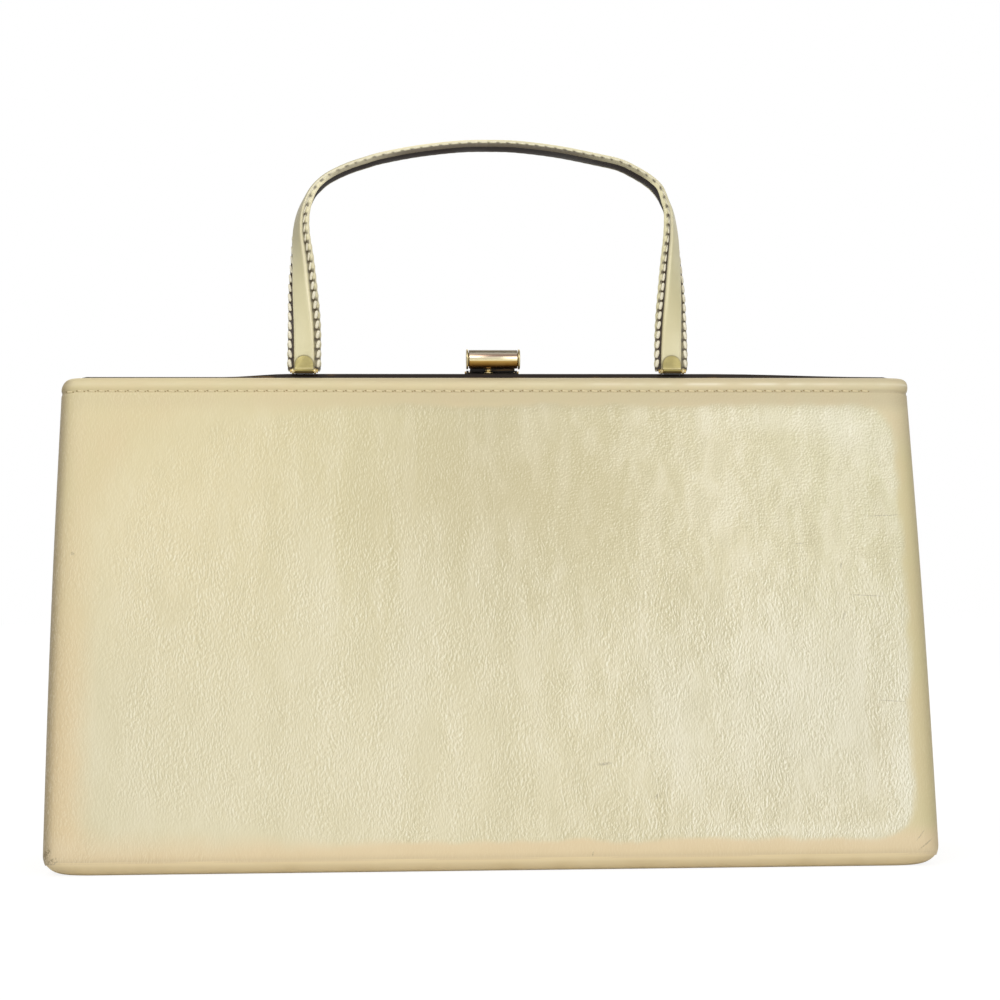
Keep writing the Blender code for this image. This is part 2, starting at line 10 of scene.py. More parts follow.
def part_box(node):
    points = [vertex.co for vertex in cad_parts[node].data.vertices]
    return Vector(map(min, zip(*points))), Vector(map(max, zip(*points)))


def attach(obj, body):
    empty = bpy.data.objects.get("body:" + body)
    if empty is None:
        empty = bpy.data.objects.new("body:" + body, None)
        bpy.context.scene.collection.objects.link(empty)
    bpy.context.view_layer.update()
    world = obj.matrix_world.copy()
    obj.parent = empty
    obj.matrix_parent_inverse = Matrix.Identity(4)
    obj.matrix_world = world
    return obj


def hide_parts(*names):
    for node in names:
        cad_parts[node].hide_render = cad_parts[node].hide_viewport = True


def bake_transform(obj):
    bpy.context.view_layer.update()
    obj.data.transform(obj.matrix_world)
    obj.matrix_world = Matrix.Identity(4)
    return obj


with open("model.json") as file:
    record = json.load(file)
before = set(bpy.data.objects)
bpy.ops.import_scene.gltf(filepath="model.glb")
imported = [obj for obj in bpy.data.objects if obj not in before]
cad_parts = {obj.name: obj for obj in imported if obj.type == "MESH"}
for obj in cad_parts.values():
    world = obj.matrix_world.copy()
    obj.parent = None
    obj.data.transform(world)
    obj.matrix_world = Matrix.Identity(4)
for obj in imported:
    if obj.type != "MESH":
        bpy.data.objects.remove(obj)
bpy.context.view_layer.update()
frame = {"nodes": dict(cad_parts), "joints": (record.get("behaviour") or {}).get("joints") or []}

print("frame loaded:", len(frame["nodes"]), "nodes")

mm = 0.001
jointPlace = {joint["name"]: Vector(joint.get("pos_m", (0, 0, 0))) for joint in frame["joints"]}

# where the walls stand, read from the frame
wallFoot = jointPlace["bag_open"]
wallTop = jointPlace["front_frame_open"]
wallShell = {
    "halfFoot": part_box("front_leather")[1].x - 0.4 * mm,
    "halfTop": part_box("front_frame")[1].x + 4.6 * mm,
    "belly": 0.6 * mm,      # the sides bow out a little half way up
    "topDepth": 6.35 * mm,  # from the middle plane to the wall's top edge
}
wallShell["slant"] = math.atan2(-wallFoot.y - wallShell["topDepth"], wallTop.z - wallFoot.z)
wallShell["length"] = (wallTop.z - wallFoot.z) / math.cos(wallShell["slant"])


# small tools for modelling

def pickOnly(piece):
    if bpy.context.object and bpy.context.object.mode != "OBJECT":
        bpy.ops.object.mode_set(mode="OBJECT")
    bpy.ops.object.select_all(action="DESELECT")
    piece.select_set(True)
    bpy.context.view_layer.objects.active = piece


def namePiece(name):
    piece = bpy.context.object
    piece.name = name
    piece.data.name = name
    return piece


def addGrid(name, columns, rows):
    bpy.ops.object.select_all(action="DESELECT")
    bpy.ops.mesh.primitive_grid_add(x_subdivisions=columns, y_subdivisions=rows, size=2)
    return namePiece(name)


def readPoints(piece):
    flat = np.empty(len(piece.data.vertices) * 3)
    piece.data.vertices.foreach_get("co", flat)
    return flat.reshape(-1, 3)


def writePoints(piece, points):
    piece.data.vertices.foreach_set("co", np.asarray(points, float).ravel())
    piece.data.update()


def addValues(piece, name, values):
    # one number for each point, for a material to read
    layer = piece.data.attributes.new(name, "FLOAT", "POINT")
    layer.data.foreach_set("value", np.asarray(values, np.float32))


def startEditing(piece):
    # edit mode with the whole mesh selected
    pickOnly(piece)
    bpy.ops.object.mode_set(mode="EDIT")
    bpy.ops.mesh.select_all(action="SELECT")


def turnFaces(piece, outward):
    # one sheet's faces are turned so that they look along outward on the whole
    look = sum((face.normal * face.area for face in piece.data.polygons), Vector())
    if look.dot(Vector(outward)) < 0:
        startEditing(piece)
        bpy.ops.mesh.flip_normals()
        bpy.ops.object.mode_set(mode="OBJECT")


def applyAll(piece):
    pickOnly(piece)
    for step in list(piece.modifiers):
        bpy.ops.object.modifier_apply(modifier=step.name)


def thicken(piece, thickness, offset=-1.0):
    step = piece.modifiers.new("thickness", "SOLIDIFY")
    step.thickness = thickness
    step.offset = offset
    step.use_even_offset = False
    applyAll(piece)


def softenEdges(piece, width):
    step = piece.modifiers.new("soft edges", "BEVEL")
    step.width = width
    step.segments = 2
    step.limit_method = "ANGLE"
    step.angle_limit = math.radians(30)
    applyAll(piece)


def smoothShade(piece, angle=60):
    pickOnly(piece)
    bpy.ops.object.shade_smooth_by_angle(angle=math.radians(angle))


def giveMaterial(piece, material):
    piece.data.materials.clear()
    piece.data.materials.append(material)


def finishPiece(piece, body, material, stands=(), angle=60):
    smoothShade(piece, angle)
    giveMaterial(piece, material)
    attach(piece, body)
    if stands:
        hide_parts(*stands)


def waves(points, size, seed):
    # smooth noise, -1 to 1, whose lumps are about size across
    shift = Vector((seed * 7.3, seed * 3.1, seed * 5.7))
    return np.array([noise.fractal(Vector(p) / size + shift, 0.6, 2.0, 2) for p in points])


def rise(values, low, high):
    share = np.clip((values - low) / (high - low), 0, 1)
    return share * share * (3 - 2 * share)


def ridge(values, place, width):
    # 1 at a place, falling away on both sides of it
    return np.exp(-((values - place) / width) ** 2)


# materials

def colour(code):
    parts = [int(code[i:i + 2], 16) / 255 for i in (1, 3, 5)]
    return [((c + 0.055) / 1.055) ** 2.4 if c > 0.04045 else c / 12.92 for c in parts] + [1.0]


def feedSocket(socket, value):
    # an input takes a node's first output, one output of it, a colour or a number
    if isinstance(value, bpy.types.Node):
        value = next(output for output in value.outputs if output.enabled)
    if isinstance(value, bpy.types.NodeSocket):
        socket.id_data.links.new(value, socket)
    else:
        socket.default_value = colour(value) if isinstance(value, str) else value


def feedInputs(node, **values):
    for name, value in values.items():
        feedSocket(node.inputs[name.replace("_", " ")], value)


usualSettings = {  # what a node is set to, unless its call says otherwise
    "Mix": {"data_type": "RGBA"},
    "Math": {"operation": "MULTIPLY"},
    "MapRange": {"interpolation_type": "SMOOTHSTEP"},
    "TexNoise": {"Scale": 1.0, "Detail": 2.0},
}


def addNode(tree, kind, *feeds, every=None, **settings):
    # one node: what goes into its inputs in turn, then its settings; a name with a capital is an input's.
    # every is a pattern's own size in millimetres along each axis, by which its place is divided
    if every:
        feeds = [addNode(tree, "Mapping", *feeds, Scale=[1 / (part * mm) for part in every])]
    node = tree.nodes.new("ShaderNode" + kind)
    for name, value in {**usualSettings.get(kind, {}), **settings}.items():
        if name[0].isupper():
            feedInputs(node, **{name: value})
        else:
            setattr(node, name, value)
    for socket, value in zip([socket for socket in node.inputs if socket.enabled], feeds):
        feedSocket(socket, value)
    return node


def startMaterial(name, base, roughness, metallic=0.0, **more):
    # the material, its shader, and addNode for its own tree
    material = bpy.data.materials.new(name)
    material.use_nodes = True
    material.diffuse_color = colour(base)
    shader = material.node_tree.nodes["Principled BSDF"]
    feedInputs(shader, Base_Color=base, Roughness=roughness, Metallic=metallic, **more)
    return material, shader, partial(addNode, material.node_tree)


def setStops(ramp, stops):
    elements = ramp.color_ramp.elements
    while len(elements) < len(stops):
        elements.new(0.5)
    for element, (place, code) in zip(elements, stops):
        element.position = place
        element.color = colour(code)


creamGrain = {
    "wrinkleSize": (0.6, 0.6, 1.5),  # mm, taller than wide: the hide's creases run up the wall
    "crumpleSize": (0.66, 0.66, 0.7),
    "wrinkleLean": 0.3, "crumpleLean": 0.8,
    "warpSize": (14, 14, 22), "bend": (8, 8, 3),  # the creases wander, by so many of their own sizes
    "paintedRelief": 0.26,         # mm between a crease's painted highlight and its painted shade
    "wrinkleDepth": 0.16 * mm,
    "poreSize": (0.3, 0.3, 0.3),
    "patchSize": (12, 12, 20),
    "streakSize": (10, 10, 52),
    "foldSize": (4.5, 4.5, 14),
    # the tone from the left side to the right one: the hide's own tone, with painted sheen where it grows
    # paler and cooler to the right
    "toneAndSheenRun": [(0.0, "#e5d7ad"), (0.25, "#d8cda2"), (0.5, "#cdc39d"), (0.72, "#d3c9a1"), (0.88, "#e0d7b3"),
                (1.0, "#ddd7b2")],
    # x, z, length, width in mm, turn in degrees, colour, amount: broad changes of tone, soft edged; the two
    # darker warm ones are the hide's own tone, the pale ones are painted sheen, the narrow dark one beside
    # the dent is its painted shade
    "tonesAndSheen": [(2, 128, 118, 62, 0, "#cfc298", 0.34), (-122, 150, 90, 60, 0, "#dccfa1", 0.3),
              (110, 52, 130, 95, 0, "#e9e6d4", 0.42), (-60, 88, 24, 110, 8, "#ebe3c8", 0.30),
              (-28, 70, 20, 100, -10, "#ebe4cc", 0.26), (60, 50, 22, 70, 12, "#ece8d6", 0.25),
              (124, 148.5, 34, 20, -28, "#f4f0dc", 0.48), (98, 151, 60, 9, 0, "#f1ecd6", 0.3),
              (130.5, 44, 7, 44, 9, "#cdc39f", 0.42), (139, 26, 12, 36, -4, "#f3f0dd", 0.45)],
    # rubs and scratches, the same way, broken up by the pores
    "marks": [(36.8, 35.1, 5.0, 1.0, 6), (54.0, 24.2, 2.0, 0.9, 65), (-141.8, 106.4, 1.2, 1.2, 0),
              (32.1, 5.7, 1.6, 0.5, 75), (105.8, 108.8, 3.2, 0.4, 4), (120.1, 101.2, 2.4, 0.7, 80),
              (120.3, 84.0, 3.4, 0.6, 70), (135.5, 118.4, 13.0, 0.4, 2), (128.7, 90.9, 13.0, 0.35, -3),
              (135.2, 55.2, 10.0, 0.35, -4), (144.5, 7.5, 6.0, 0.5, 35), (142.8, 10.5, 4.5, 0.4, 50)],
    "scuffs": [(-148.4, 7.2, 5.0, 2.6, 65), (-146.4, 4.8, 5.0, 2.2, 35)],
}


def addMark(add, place, face, mark, tint, broken, amount, core=0.5):
    # an oval of another colour at a place on the front, faded from its core outward
    x, z, length, width, turn = mark
    spot = add("Mapping", place, vector_type="TEXTURE", Location=(x * mm, 0, z * mm),
               Rotation=(0, math.radians(-turn), 0), Scale=(length * mm / 2, 1.0, width * mm / 2))
    rub = add("MapRange", add("VectorMath", spot, operation="LENGTH"), 1.3, core, 0.0, amount)
    return add("Mix", add("Math", rub, broken), face, tint)


def makeCreamLeather():
    # calf leather with a pearl finish, glazed: a soft broad sheen, partly painted into its colour, over fine
    # creases, smooth at turned edges
    g = creamGrain
    material, shader, add = startMaterial("pearl glazed calf leather", "#dccfa9", 0.44, Coat_Weight=0.12,
                                          Coat_Roughness=0.3)
    field, shore, paintedShade, crest, sheen = [add("Attribute", attribute_name=name).outputs["Fac"]
                                          for name in ("field", "shore", "paintedShade", "crest", "sheen")]
    place = add("TexCoord").outputs["Object"]
    axes = add("SeparateXYZ", place).outputs
    right = add("MapRange", axes["X"], -0.15, 0.15)
    high = add("MapRange", axes["Z"], 0.03, 0.14)
    low = add("Math", 1.0, high, operation="SUBTRACT")

    # creases: upright over most of the wall, crumpled evenly at the upper right
    warp = add("TexNoise", place, every=g["warpSize"]).outputs["Color"]
    creases, beside = [], []
    for kind in ("wrinkle", "crumple"):
        size = g[kind + "Size"]
        straight = add("Mapping", place, Scale=[1 / (part * mm) for part in size])
        bent = add("VectorMath", warp, g["bend"], straight, operation="MULTIPLY_ADD")
        step = (g["paintedRelief"] / size[0], 0, -g[kind + "Lean"] * g["paintedRelief"] / size[2])
        creases.append(add("TexNoise", bent))
        beside.append(add("TexNoise", add("VectorMath", bent, step, operation="ADD")))
    crumpled = add("Math", add("MapRange", axes["X"], -0.04, 0.06), add("MapRange", axes["Z"], 0.08, 0.13))
    crease = add("Mix", crumpled, *creases)
    paintedRelief = add("Math", crease, add("Mix", crumpled, *beside), operation="SUBTRACT")
    pore = add("TexNoise", place, every=g["poreSize"], Detail=3.0)
    streak = add("TexNoise", place, every=g["streakSize"], Detail=3.0, Distortion=0.4)
    fold = add("TexNoise", place, every=g["foldSize"], Detail=1.0, Distortion=0.5)
    patch = add("TexNoise", place, every=g["patchSize"])
    strength = add("Math", add("MapRange", patch, 0.3, 0.55, 0.55, 1.0), field)

    # the tone changes from side to side and from foot to top, in streaks, folds and broad patches; its paler
    # right side and pale patches are painted sheen
    tone = add("ValToRGB", right)
    setStops(tone, g["toneAndSheenRun"])
    face = add("Mix", low, tone, "#e2d9b7")
    uneven = add("MapRange", axes["X"], -0.1, 0.1, 0.14, 0.36)
    rightward = add("MapRange", axes["X"], -0.02, 0.09, 0.05, 0.22)
    for pattern, start, end, amount, tint in (
            (streak, 0.46, 0.66, uneven, "#cfc59e"), (streak, 0.52, 0.34, uneven, "#eee6cc"),
            (fold, 0.48, 0.64, rightward, "#cac19b"), (fold, 0.5, 0.36, rightward, "#f4eed8")):
        face = add("Mix", add("Math", add("MapRange", pattern, start, end), amount), face, tint)
    # the broad patches: the hide's own tone, painted sheen, and the dent's painted shade
    for *mark, tint, amount in g["tonesAndSheen"]:
        face = addMark(add, place, face, mark, tint, 1.0, amount, 0.0)

    # where the leather is turned it is warmer, pinkish to the left and below, olive to the right and above
    olive = add("Math", right, add("Math", high, 0.7), operation="MAXIMUM")
    edge = add("Mix", olive, "#e6d0a5", "#dbcfa1")
    edge = add("Mix", add("MapRange", axes["Z"], 0.016, 0.009), edge, "#e7d3ac")
    edge = add("Mix", add("Math", add("MapRange", axes["Z"], 0.135, 0.15), right), edge, "#dccfa8")
    edge = add("Mix", add("MapRange", patch, 0.35, 0.65, 0.0, 0.3), edge, "#e2cda4")
    face = add("Mix", shore, edge, face)
    # painted shade, then painted highlights: along the top bead and along the field's border
    for share, amount, tint in ((paintedShade, 0.8, "#a8987a"), (crest, 0.7, "#fbf3dc"), (sheen, 0.3, "#f5f1dd")):
        face = add("Mix", add("Math", share, amount), face, tint)

    # painted shade and painted highlight: each crease is coloured dark on one side and shining on the other,
    # as if lit from one side, shining more where the painted sheen lies
    paintedCreaseShade = add("Math", add("MapRange", paintedRelief, 0.01, -0.16), strength)
    face = add("Mix", add("Math", paintedCreaseShade, 0.54), face, "#cfc8ae", blend_type="MULTIPLY")
    ridge = add("Math", add("MapRange", paintedRelief, 0.02, 0.17), strength)
    face = add("Mix", add("Math", ridge, add("MapRange", sheen, 0.0, 1.0, 0.76, 1.0)), face, "#fffbe8")
    for mark in g["marks"]:
        face = addMark(add, place, face, mark, "#857456", add("MapRange", pore, 0.38, 0.55), 0.5)
    for mark in g["scuffs"]:
        face = addMark(add, place, face, mark, "#6d5c3a", add("MapRange", creases[1], 0.5, 0.6), 0.6)
    dull = add("Math", add("MapRange", field, 0.0, 1.0, 0.50, 0.36), add("Math", patch, 0.1), operation="ADD")
    feedInputs(shader, Base_Color=face, Roughness=dull,
               Normal=add("Bump", Height=add("Math", crease, strength), Distance=g["wrinkleDepth"]))
    return material


def makeSmoothLeather(name, base, worn, size=0.5, depth=0.04 * mm, roughness=0.46, coat=0.1, shadeTint=None,
                      shine=0.5, rim=None, paintedShadow=()):
    # the same leather pared thin and turned: creases pressed out, a little rubbing where it is handled
    material, shader, add = startMaterial(name, base, roughness, Coat_Weight=coat, Coat_Roughness=0.3,
                                          Specular_IOR_Level=shine)
    place = add("TexCoord").outputs["Object"]
    grain = add("TexNoise", place, every=(size, size, size), Detail=4.0, Roughness=0.6)
    cloud = add("TexNoise", place, every=(18, 18, 26), Detail=4.0)
    face = add("Mix", add("MapRange", cloud, 0.42, 0.7, 0.0, 0.5), base, worn)
    face = add("Mix", add("MapRange", grain, 0.6, 0.75, 0.0, 0.1), face, worn)
    # painted highlight along rims
    if rim:
        face = add("Mix", add("Attribute", attribute_name="rim").outputs["Fac"], face, rim)
    # painted shadow round the end plates
    for mark in paintedShadow:
        face = addMark(add, place, face, mark, "#857949", 1.0, 0.8, 1.1)
    # darker for stitch holes and painted shade
    if shadeTint:
        face = add("Mix", add("Attribute", attribute_name="holesAndShade").outputs["Fac"], face, shadeTint)
    feedInputs(shader, Base_Color=face,
               Roughness=add("MapRange", cloud, 0.3, 0.7, roughness - 0.08, roughness + 0.1),
               Normal=add("Bump", Height=grain, Distance=depth, Strength=0.6))
    return material


def makeThread(name, base, worn, dark):
    # waxed cotton thread: round and soft, dark where it dives into its hole: the hole itself and painted
    # shade
    material, shader, add = startMaterial(name, base, 0.5)
    strand = add("TexNoise", add("TexCoord").outputs["Object"], every=(0.25, 0.25, 0.25))
    face = add("Mix", add("MapRange", strand, 0.4, 0.65, 0.0, 0.6), base, worn)
    hidden = add("Attribute", attribute_name="holesAndShade").outputs["Fac"]
    feedInputs(shader, Base_Color=add("Mix", hidden, face, dark),
               Normal=add("Bump", Height=strand, Distance=0.05 * mm, Strength=0.6))
    return material


def makeGilt(name, base, deep, roughness, brushed=0.0, node=None, bands=()):
    # brass with a flash of gold plate: mirror bright, hairlines, and a little dullness in the corners
    material, shader, add = startMaterial(name, base, roughness, 1.0)
    place = add("TexCoord").outputs["Object"]
    hair = add("TexNoise", place, every=(6, 0.12, 0.12), Detail=3.0)
    stain = add("TexNoise", place, every=(3.5, 3.5, 3.5), Detail=4.0)
    face = add("Mix", add("MapRange", stain, 0.4, 0.7, 0.0, 0.7), base, deep)
    if bands:
        # painted light in bands from the node's foot to its top: on the tube, painted reflections, silver
        # along a crown and brown underneath; on the end plates, painted shade under the knuckle with a
        # painted highlight line above it
        low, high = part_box(node)
        height = add("SeparateXYZ", place).outputs["Z"]
        ramp = add("ValToRGB", add("MapRange", height, low.z, high.z, interpolation_type="LINEAR"))
        setStops(ramp, bands)
        face = add("Mix", 0.85, face, ramp)
    feedInputs(shader, Base_Color=face,
               Roughness=add("MapRange", hair, 0.35, 0.65, roughness, roughness + 0.08 + brushed),
               Normal=add("Bump", Height=hair, Distance=0.01 * mm, Strength=0.15 + brushed))
    return material


def makeLacquer():
    # stoved brown lacquer over brass: dark and glossy, bronze where it is rubbed
    material, shader, add = startMaterial("brown stoved lacquer", "#22160c", 0.34, Coat_Weight=0.12,
                                          Coat_Roughness=0.2, Specular_IOR_Level=0.2)
    rub = add("TexNoise", add("TexCoord").outputs["Object"], every=(14, 2, 1.2), Detail=4.0)
    share = add("MapRange", rub, 0.58, 0.72, 0.0, 0.8)
    feedInputs(shader, Base_Color=add("Mix", share, "#22160c", "#6a5230"), Metallic=add("Math", share, 0.7),
               Normal=add("Bump", Height=rub, Distance=0.02 * mm, Strength=0.3))
    return material


def makeLiningCloth():
    # brown rayon faille: fine ribs across the cloth, a dull silky shine
    material, shader, add = startMaterial("brown faille lining", "#5b4332", 0.62, Sheen_Weight=0.3,
                                          Sheen_Roughness=0.4)
    place = add("TexCoord").outputs["Object"]
    rib, yarn = [
        add("TexWave", place, every=(1, 1, 1), bands_direction=axis, Scale=scale, Distortion=bend,
            Detail=detail).outputs["Fac"]
        for axis, scale, bend, detail in (("Z", 0.55, 0.6, 2.0), ("X", 0.9, 0.4, 1.0))]
    face = add("Mix", rib, "#4a3526", "#6a5040")
    feedInputs(shader, Base_Color=add("Mix", add("Math", yarn, 0.25), face, "#3a281c"),
               Normal=add("Bump", Height=rib, Distance=0.12 * mm, Strength=0.6))
    return material


def makeCard():
    # grey-brown strawboard, rolled: flecks and a fibrous face
    material, shader, add = startMaterial("rolled strawboard", "#8a7a5c", 0.9)
    fleck = add("TexNoise", add("TexCoord").outputs["Object"], every=(2.5, 0.6, 0.6), Detail=5.0)
    feedInputs(shader, Base_Color=add("Mix", add("MapRange", fleck, 0.4, 0.65), "#8a7a5c", "#6f6046"),
               Normal=add("Bump", Height=fleck, Distance=0.1 * mm, Strength=0.5))
    return material


# painted shadow: a thin dark line round the half round end plates, where they sit on the strap
plateLow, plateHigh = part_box("handle_end_left")
plateHalf = (plateHigh.x - plateLow.x) / 2 / mm
shadowReach = 1.83 * plateHalf  # mm, across the oval of painted shadow
plateShadow = [(side * (plateHigh.x / mm - plateHalf), plateHigh.z / mm - plateHalf, shadowReach, shadowReach, 0)
              for side in (-1, 1)]

creamLeather = makeCreamLeather()
edgeLeather = makeSmoothLeather("turned calf leather", "#e0cda4", "#d2bd90", rim="#f3e1b8")
strapLeather = makeSmoothLeather("strap calf leather", "#e2dab1", "#d5ca9b", 0.35, 0.03 * mm, 0.36, 0.3,
                                 "#33200f", rim="#faf0cd", paintedShadow=plateShadow)
# the strap's underside: brown leather made this dark so that it also stands for the shade under the strap
brownLeather = makeSmoothLeather("brown calf leather", "#1c0f09", "#2a170d", 0.5, 0.05 * mm, 0.62, 0.0,
                                 shine=0.2)
seamThread = makeThread("cream seam thread", "#e6d8b0", "#d2c397", "#9c8557")
cordThread = makeThread("ivory cord thread", "#f7f1dc", "#d3c7a3", "#8f7c54")
brightGilt = makeGilt("gilt brass", "#e2c27a", "#b58e45", 0.13)
# painted reflections: bands of silver, mauve, bright and brown round the clasp tube
tubeGilt = makeGilt("gilt brass with painted reflections", "#e2c27a", "#b58e45", 0.16, 0.0, "clasp_tube",
                    [(0.0, "#dcbc94"), (0.09, "#c9a27a"), (0.13, "#4e3214"), (0.22, "#7a5420"),
                     (0.36, "#b9904a"), (0.42, "#fdf3c4"), (0.58, "#fbeed4"), (0.64, "#a08478"),
                     (0.73, "#ae9a90"), (0.79, "#cfc8ba"), (0.86, "#bdb8a8"), (0.90, "#3c3930"),
                     (1.0, "#2c2a24")])
# painted shade under the end plates' knuckle, with a painted highlight line above it
satinGilt = makeGilt("satin gilt brass", "#c0b37e", "#958955", 0.28, 0.2, "handle_end_left",
                     [(0.0, "#2e1c08"), (0.12, "#3a2409"), (0.17, "#85763f"), (0.22, "#a09458"),
                      (0.26, "#efe4b4"), (0.31, "#efe4b4"), (0.35, "#b3a772"), (1.0, "#afa36e")])
paleGilt = makeGilt("pale gilt brass", "#dccb9c", "#a8966a", 0.2)
frameLacquer = makeLacquer()
liningCloth = makeLiningCloth()
boardCard = makeCard()
print("materials made")


# camera, lights and floor

stageSetup = {
    "cameraPlace": (-47.9 * mm, -835.0 * mm, 104.8 * mm),
    "cameraTurn": (91.349, 0.25, -3.547),  # degrees
    "lens": 86.34,
    "worldLight": 0.70,
    "softLights": [  # name, place, aim, width, height, power
        ("key light", (-0.55, -0.95, 0.95), (0, 0, 0.1), 0.9, 0.7, 5.6),
        ("fill light", (0.6, -1.15, 0.5), (0, 0, 0.1), 0.6, 0.8, 1.9),
        ("rim light", (0.1, 0.9, 0.9), (0, 0, 0.12), 1.0, 0.5, 1.3)],
    "flags": [("left flag", (-0.34, -0.1, 0.12)), ("right flag", (0.38, -0.1, 0.12))],
    "flagSize": 0.3,
    "paperGlow": 1.12, "paperShare": 0.78,
}


def addSoftLight(name, place, aim, width, height, power):
    bpy.ops.object.light_add(type="AREA", location=place)
    light = bpy.context.object
    light.name = name
    light.data.shape = "RECTANGLE"
    light.data.size = width
    light.data.size_y = height
    light.data.energy = power
    light.rotation_euler = (Vector(aim) - Vector(place)).to_track_quat("-Z", "Y").to_euler()


def addFlag(name, place):
    # a black card out of the picture, which draws the object's edges
    bpy.ops.mesh.primitive_plane_add(size=stageSetup["flagSize"], location=place,
                                     rotation=(0, math.pi / 2, 0))
    flag = namePiece(name)
    giveMaterial(flag, startMaterial(name, "#0b0a09", 0.9)[0])
    flag.visible_camera = False


def buildStage():
    s = stageSetup
    turn = [math.radians(angle) for angle in s["cameraTurn"]]
    bpy.ops.object.camera_add(location=s["cameraPlace"], rotation=turn)
    camera = bpy.context.object
    camera.data.lens = s["lens"]
    camera.data.sensor_width = 36
    camera.data.clip_start = 0.01
    bpy.context.scene.camera = camera

    # the world lights softly and is seen as plain white
    world = bpy.data.worlds.new("studio")
    bpy.context.scene.world = world
    world.use_nodes = True
    add = partial(addNode, world.node_tree)
    soft = world.node_tree.nodes["Background"]
    feedInputs(soft, Color="#ffffff", Strength=s["worldLight"])
    path = add("LightPath").outputs
    seen = add("Math", path["Is Camera Ray"], path["Is Transmission Ray"], operation="MAXIMUM")
    feedInputs(world.node_tree.nodes["World Output"],
               Surface=add("MixShader", seen, soft, add("Background", "#ffffff", 1.0)))

    bpy.ops.mesh.primitive_plane_add(size=6.0)
    floor = namePiece("floor")
    material, shader, add = startMaterial("white paper sweep", "#f4f3ef", 0.8)
    share = add("Math", add("LightPath").outputs["Is Camera Ray"], s["paperShare"])
    feedInputs(material.node_tree.nodes["Material Output"],
               Surface=add("MixShader", share, shader, add("Emission", Strength=s["paperGlow"])))
    giveMaterial(floor, material)
    for light in s["softLights"]:
        addSoftLight(*light)
    for flag in s["flags"]:
        addFlag(*flag)
    bpy.context.scene.view_settings.view_transform = "Standard"


buildStage()
print("stage set")


# walls

wall = {
    "columns": 220, "rows": 150,
    "leather": 1.1 * mm,
    "edgeReach": 9 * mm,    # how far in from the outline the face starts to turn away
    "edgeDepth": 5.6 * mm,
    "footRound": 8 * mm,    # the lower corners, seen from the front
    "cornerLeft": 4.9 * mm, "cornerRight": 3.5 * mm,
    "topRoll": 1.35 * mm,
    "tuckLength": 9.0 * mm, "tuckInset": 3.0 * mm,
    "stitchDrop": 4.95 * mm,
    "grooveDepth": 0.42 * mm, "grooveWidth": 0.55 * mm,
    "bandPuff": 0.45 * mm,
    "crown": 0.5 * mm,
    "sag": 0.30 * mm,
    # a long soft dent near the right edge: how deep, where it starts, its lean, width and two ends
    "dent": 0.45 * mm, "dentPlace": 133 * mm, "dentLean": 0.13, "dentWidth": 3.2 * mm,
    "dentFoot": (14 * mm, 30 * mm), "dentTop": (60 * mm, 85 * mm),
    # the grained field: its rounded corners, and the smooth leather left beside it
    "fieldRound": 12 * mm, "fieldRoundTopLeft": 48 * mm,
    "plainLeft": 11 * mm, "plainRight": 6.6 * mm, "plainRightFoot": 1.9 * mm,
    "plainTop": 4.8 * mm, "plainFoot": 5.5 * mm,
    # lines of painted highlight (along the top bead, along the field's border) and of painted shade (under
    # the seam, at the hem): where and how wide
    "beadHighlightLine": (2.7 * mm, 0.42 * mm), "shiningLine": (3.2 * mm, 2.6 * mm),
    "grooveShadeLine": (0.2 * mm, 0.5 * mm), "hemLine": (1.0 * mm, 0.8 * mm),
    # how strong the painted shade is: under the seam, at the hem, on the left and right sides, along the top
    # edge
    "grooveShadeShare": 0.72, "hemShare": 0.2, "turnedShadeShares": (1.1, 0.22), "topShadeShare": 0.46,
    "topShadeDrop": (0.9 * mm, 2.9 * mm),
}


def wallHalf(height):
    share = np.clip(height / wallShell["length"], 0, 1)
    straight = wallShell["halfFoot"] + (wallShell["halfTop"] - wallShell["halfFoot"]) * share
    return straight + wallShell["belly"] * np.sin(math.pi * share)


def roundInset(height, radius):
    # how far a rounded lower corner lies in from the straight side at a height over the floor
    below = np.clip((radius - height) / radius, 0, 1)
    return radius * (1 - np.sqrt(1 - below ** 2))


def placeOnWall(across, up, depth, face):
    # a wall's own coordinates in the row frame: face is -1 for the front, 1 for the rear
    sine, cosine = math.sin(wallShell["slant"]), math.cos(wallShell["slant"])
    y = wallFoot.y + up * sine + depth * cosine
    z = wallFoot.z + up * cosine - depth * sine
    return np.stack([np.asarray(across) * -face, y * -face, z + 0 * y], axis=1)


def fieldInset(flat, half, face):
    # how far inside the grained field a point lies: the leather is smooth where it is turned over the edges
    w = wall
    widening = w["plainRightFoot"] * (1 - rise(flat[:, 2], 30 * mm, 75 * mm))
    margin = np.where(flat[:, 0] * face > 0, w["plainLeft"], w["plainRight"] + widening)
    side = half - np.abs(flat[:, 0]) - margin
    drop = wallShell["length"] - flat[:, 2] - w["stitchDrop"] - w["plainTop"]
    upDown = np.minimum(drop, flat[:, 2] - w["plainFoot"])
    shareHigh = rise(flat[:, 2], 60 * mm, 130 * mm) * (1 - rise(flat[:, 0], -125 * mm, -40 * mm))
    radius = w["fieldRound"] + (w["fieldRoundTopLeft"] - w["fieldRound"]) * shareHigh * (face < 0)
    across, along = radius - side, radius - upDown
    inside = radius - np.hypot(np.clip(across, 0, None), np.clip(along, 0, None))
    inside -= np.minimum(np.maximum(across, along), 0)
    return inside + waves(flat, 17 * mm, 9) * 1.3 * mm + waves(flat, 5 * mm, 14) * 0.4 * mm


def wallRun(share):
    # distances up the wall, round its top edge and down the tuck, for shares of the grid's height
    w = wall
    faceTop = wallShell["length"] - w["topRoll"]
    rollEnd = faceTop + math.pi * w["topRoll"]
    stops = [0.15 * mm, 12 * mm, wallShell["length"] - 10 * mm, faceTop, rollEnd, rollEnd + w["tuckLength"]]
    return np.interp(share, [0, 0.10, 0.78, 0.89, 0.97, 1.0], stops)


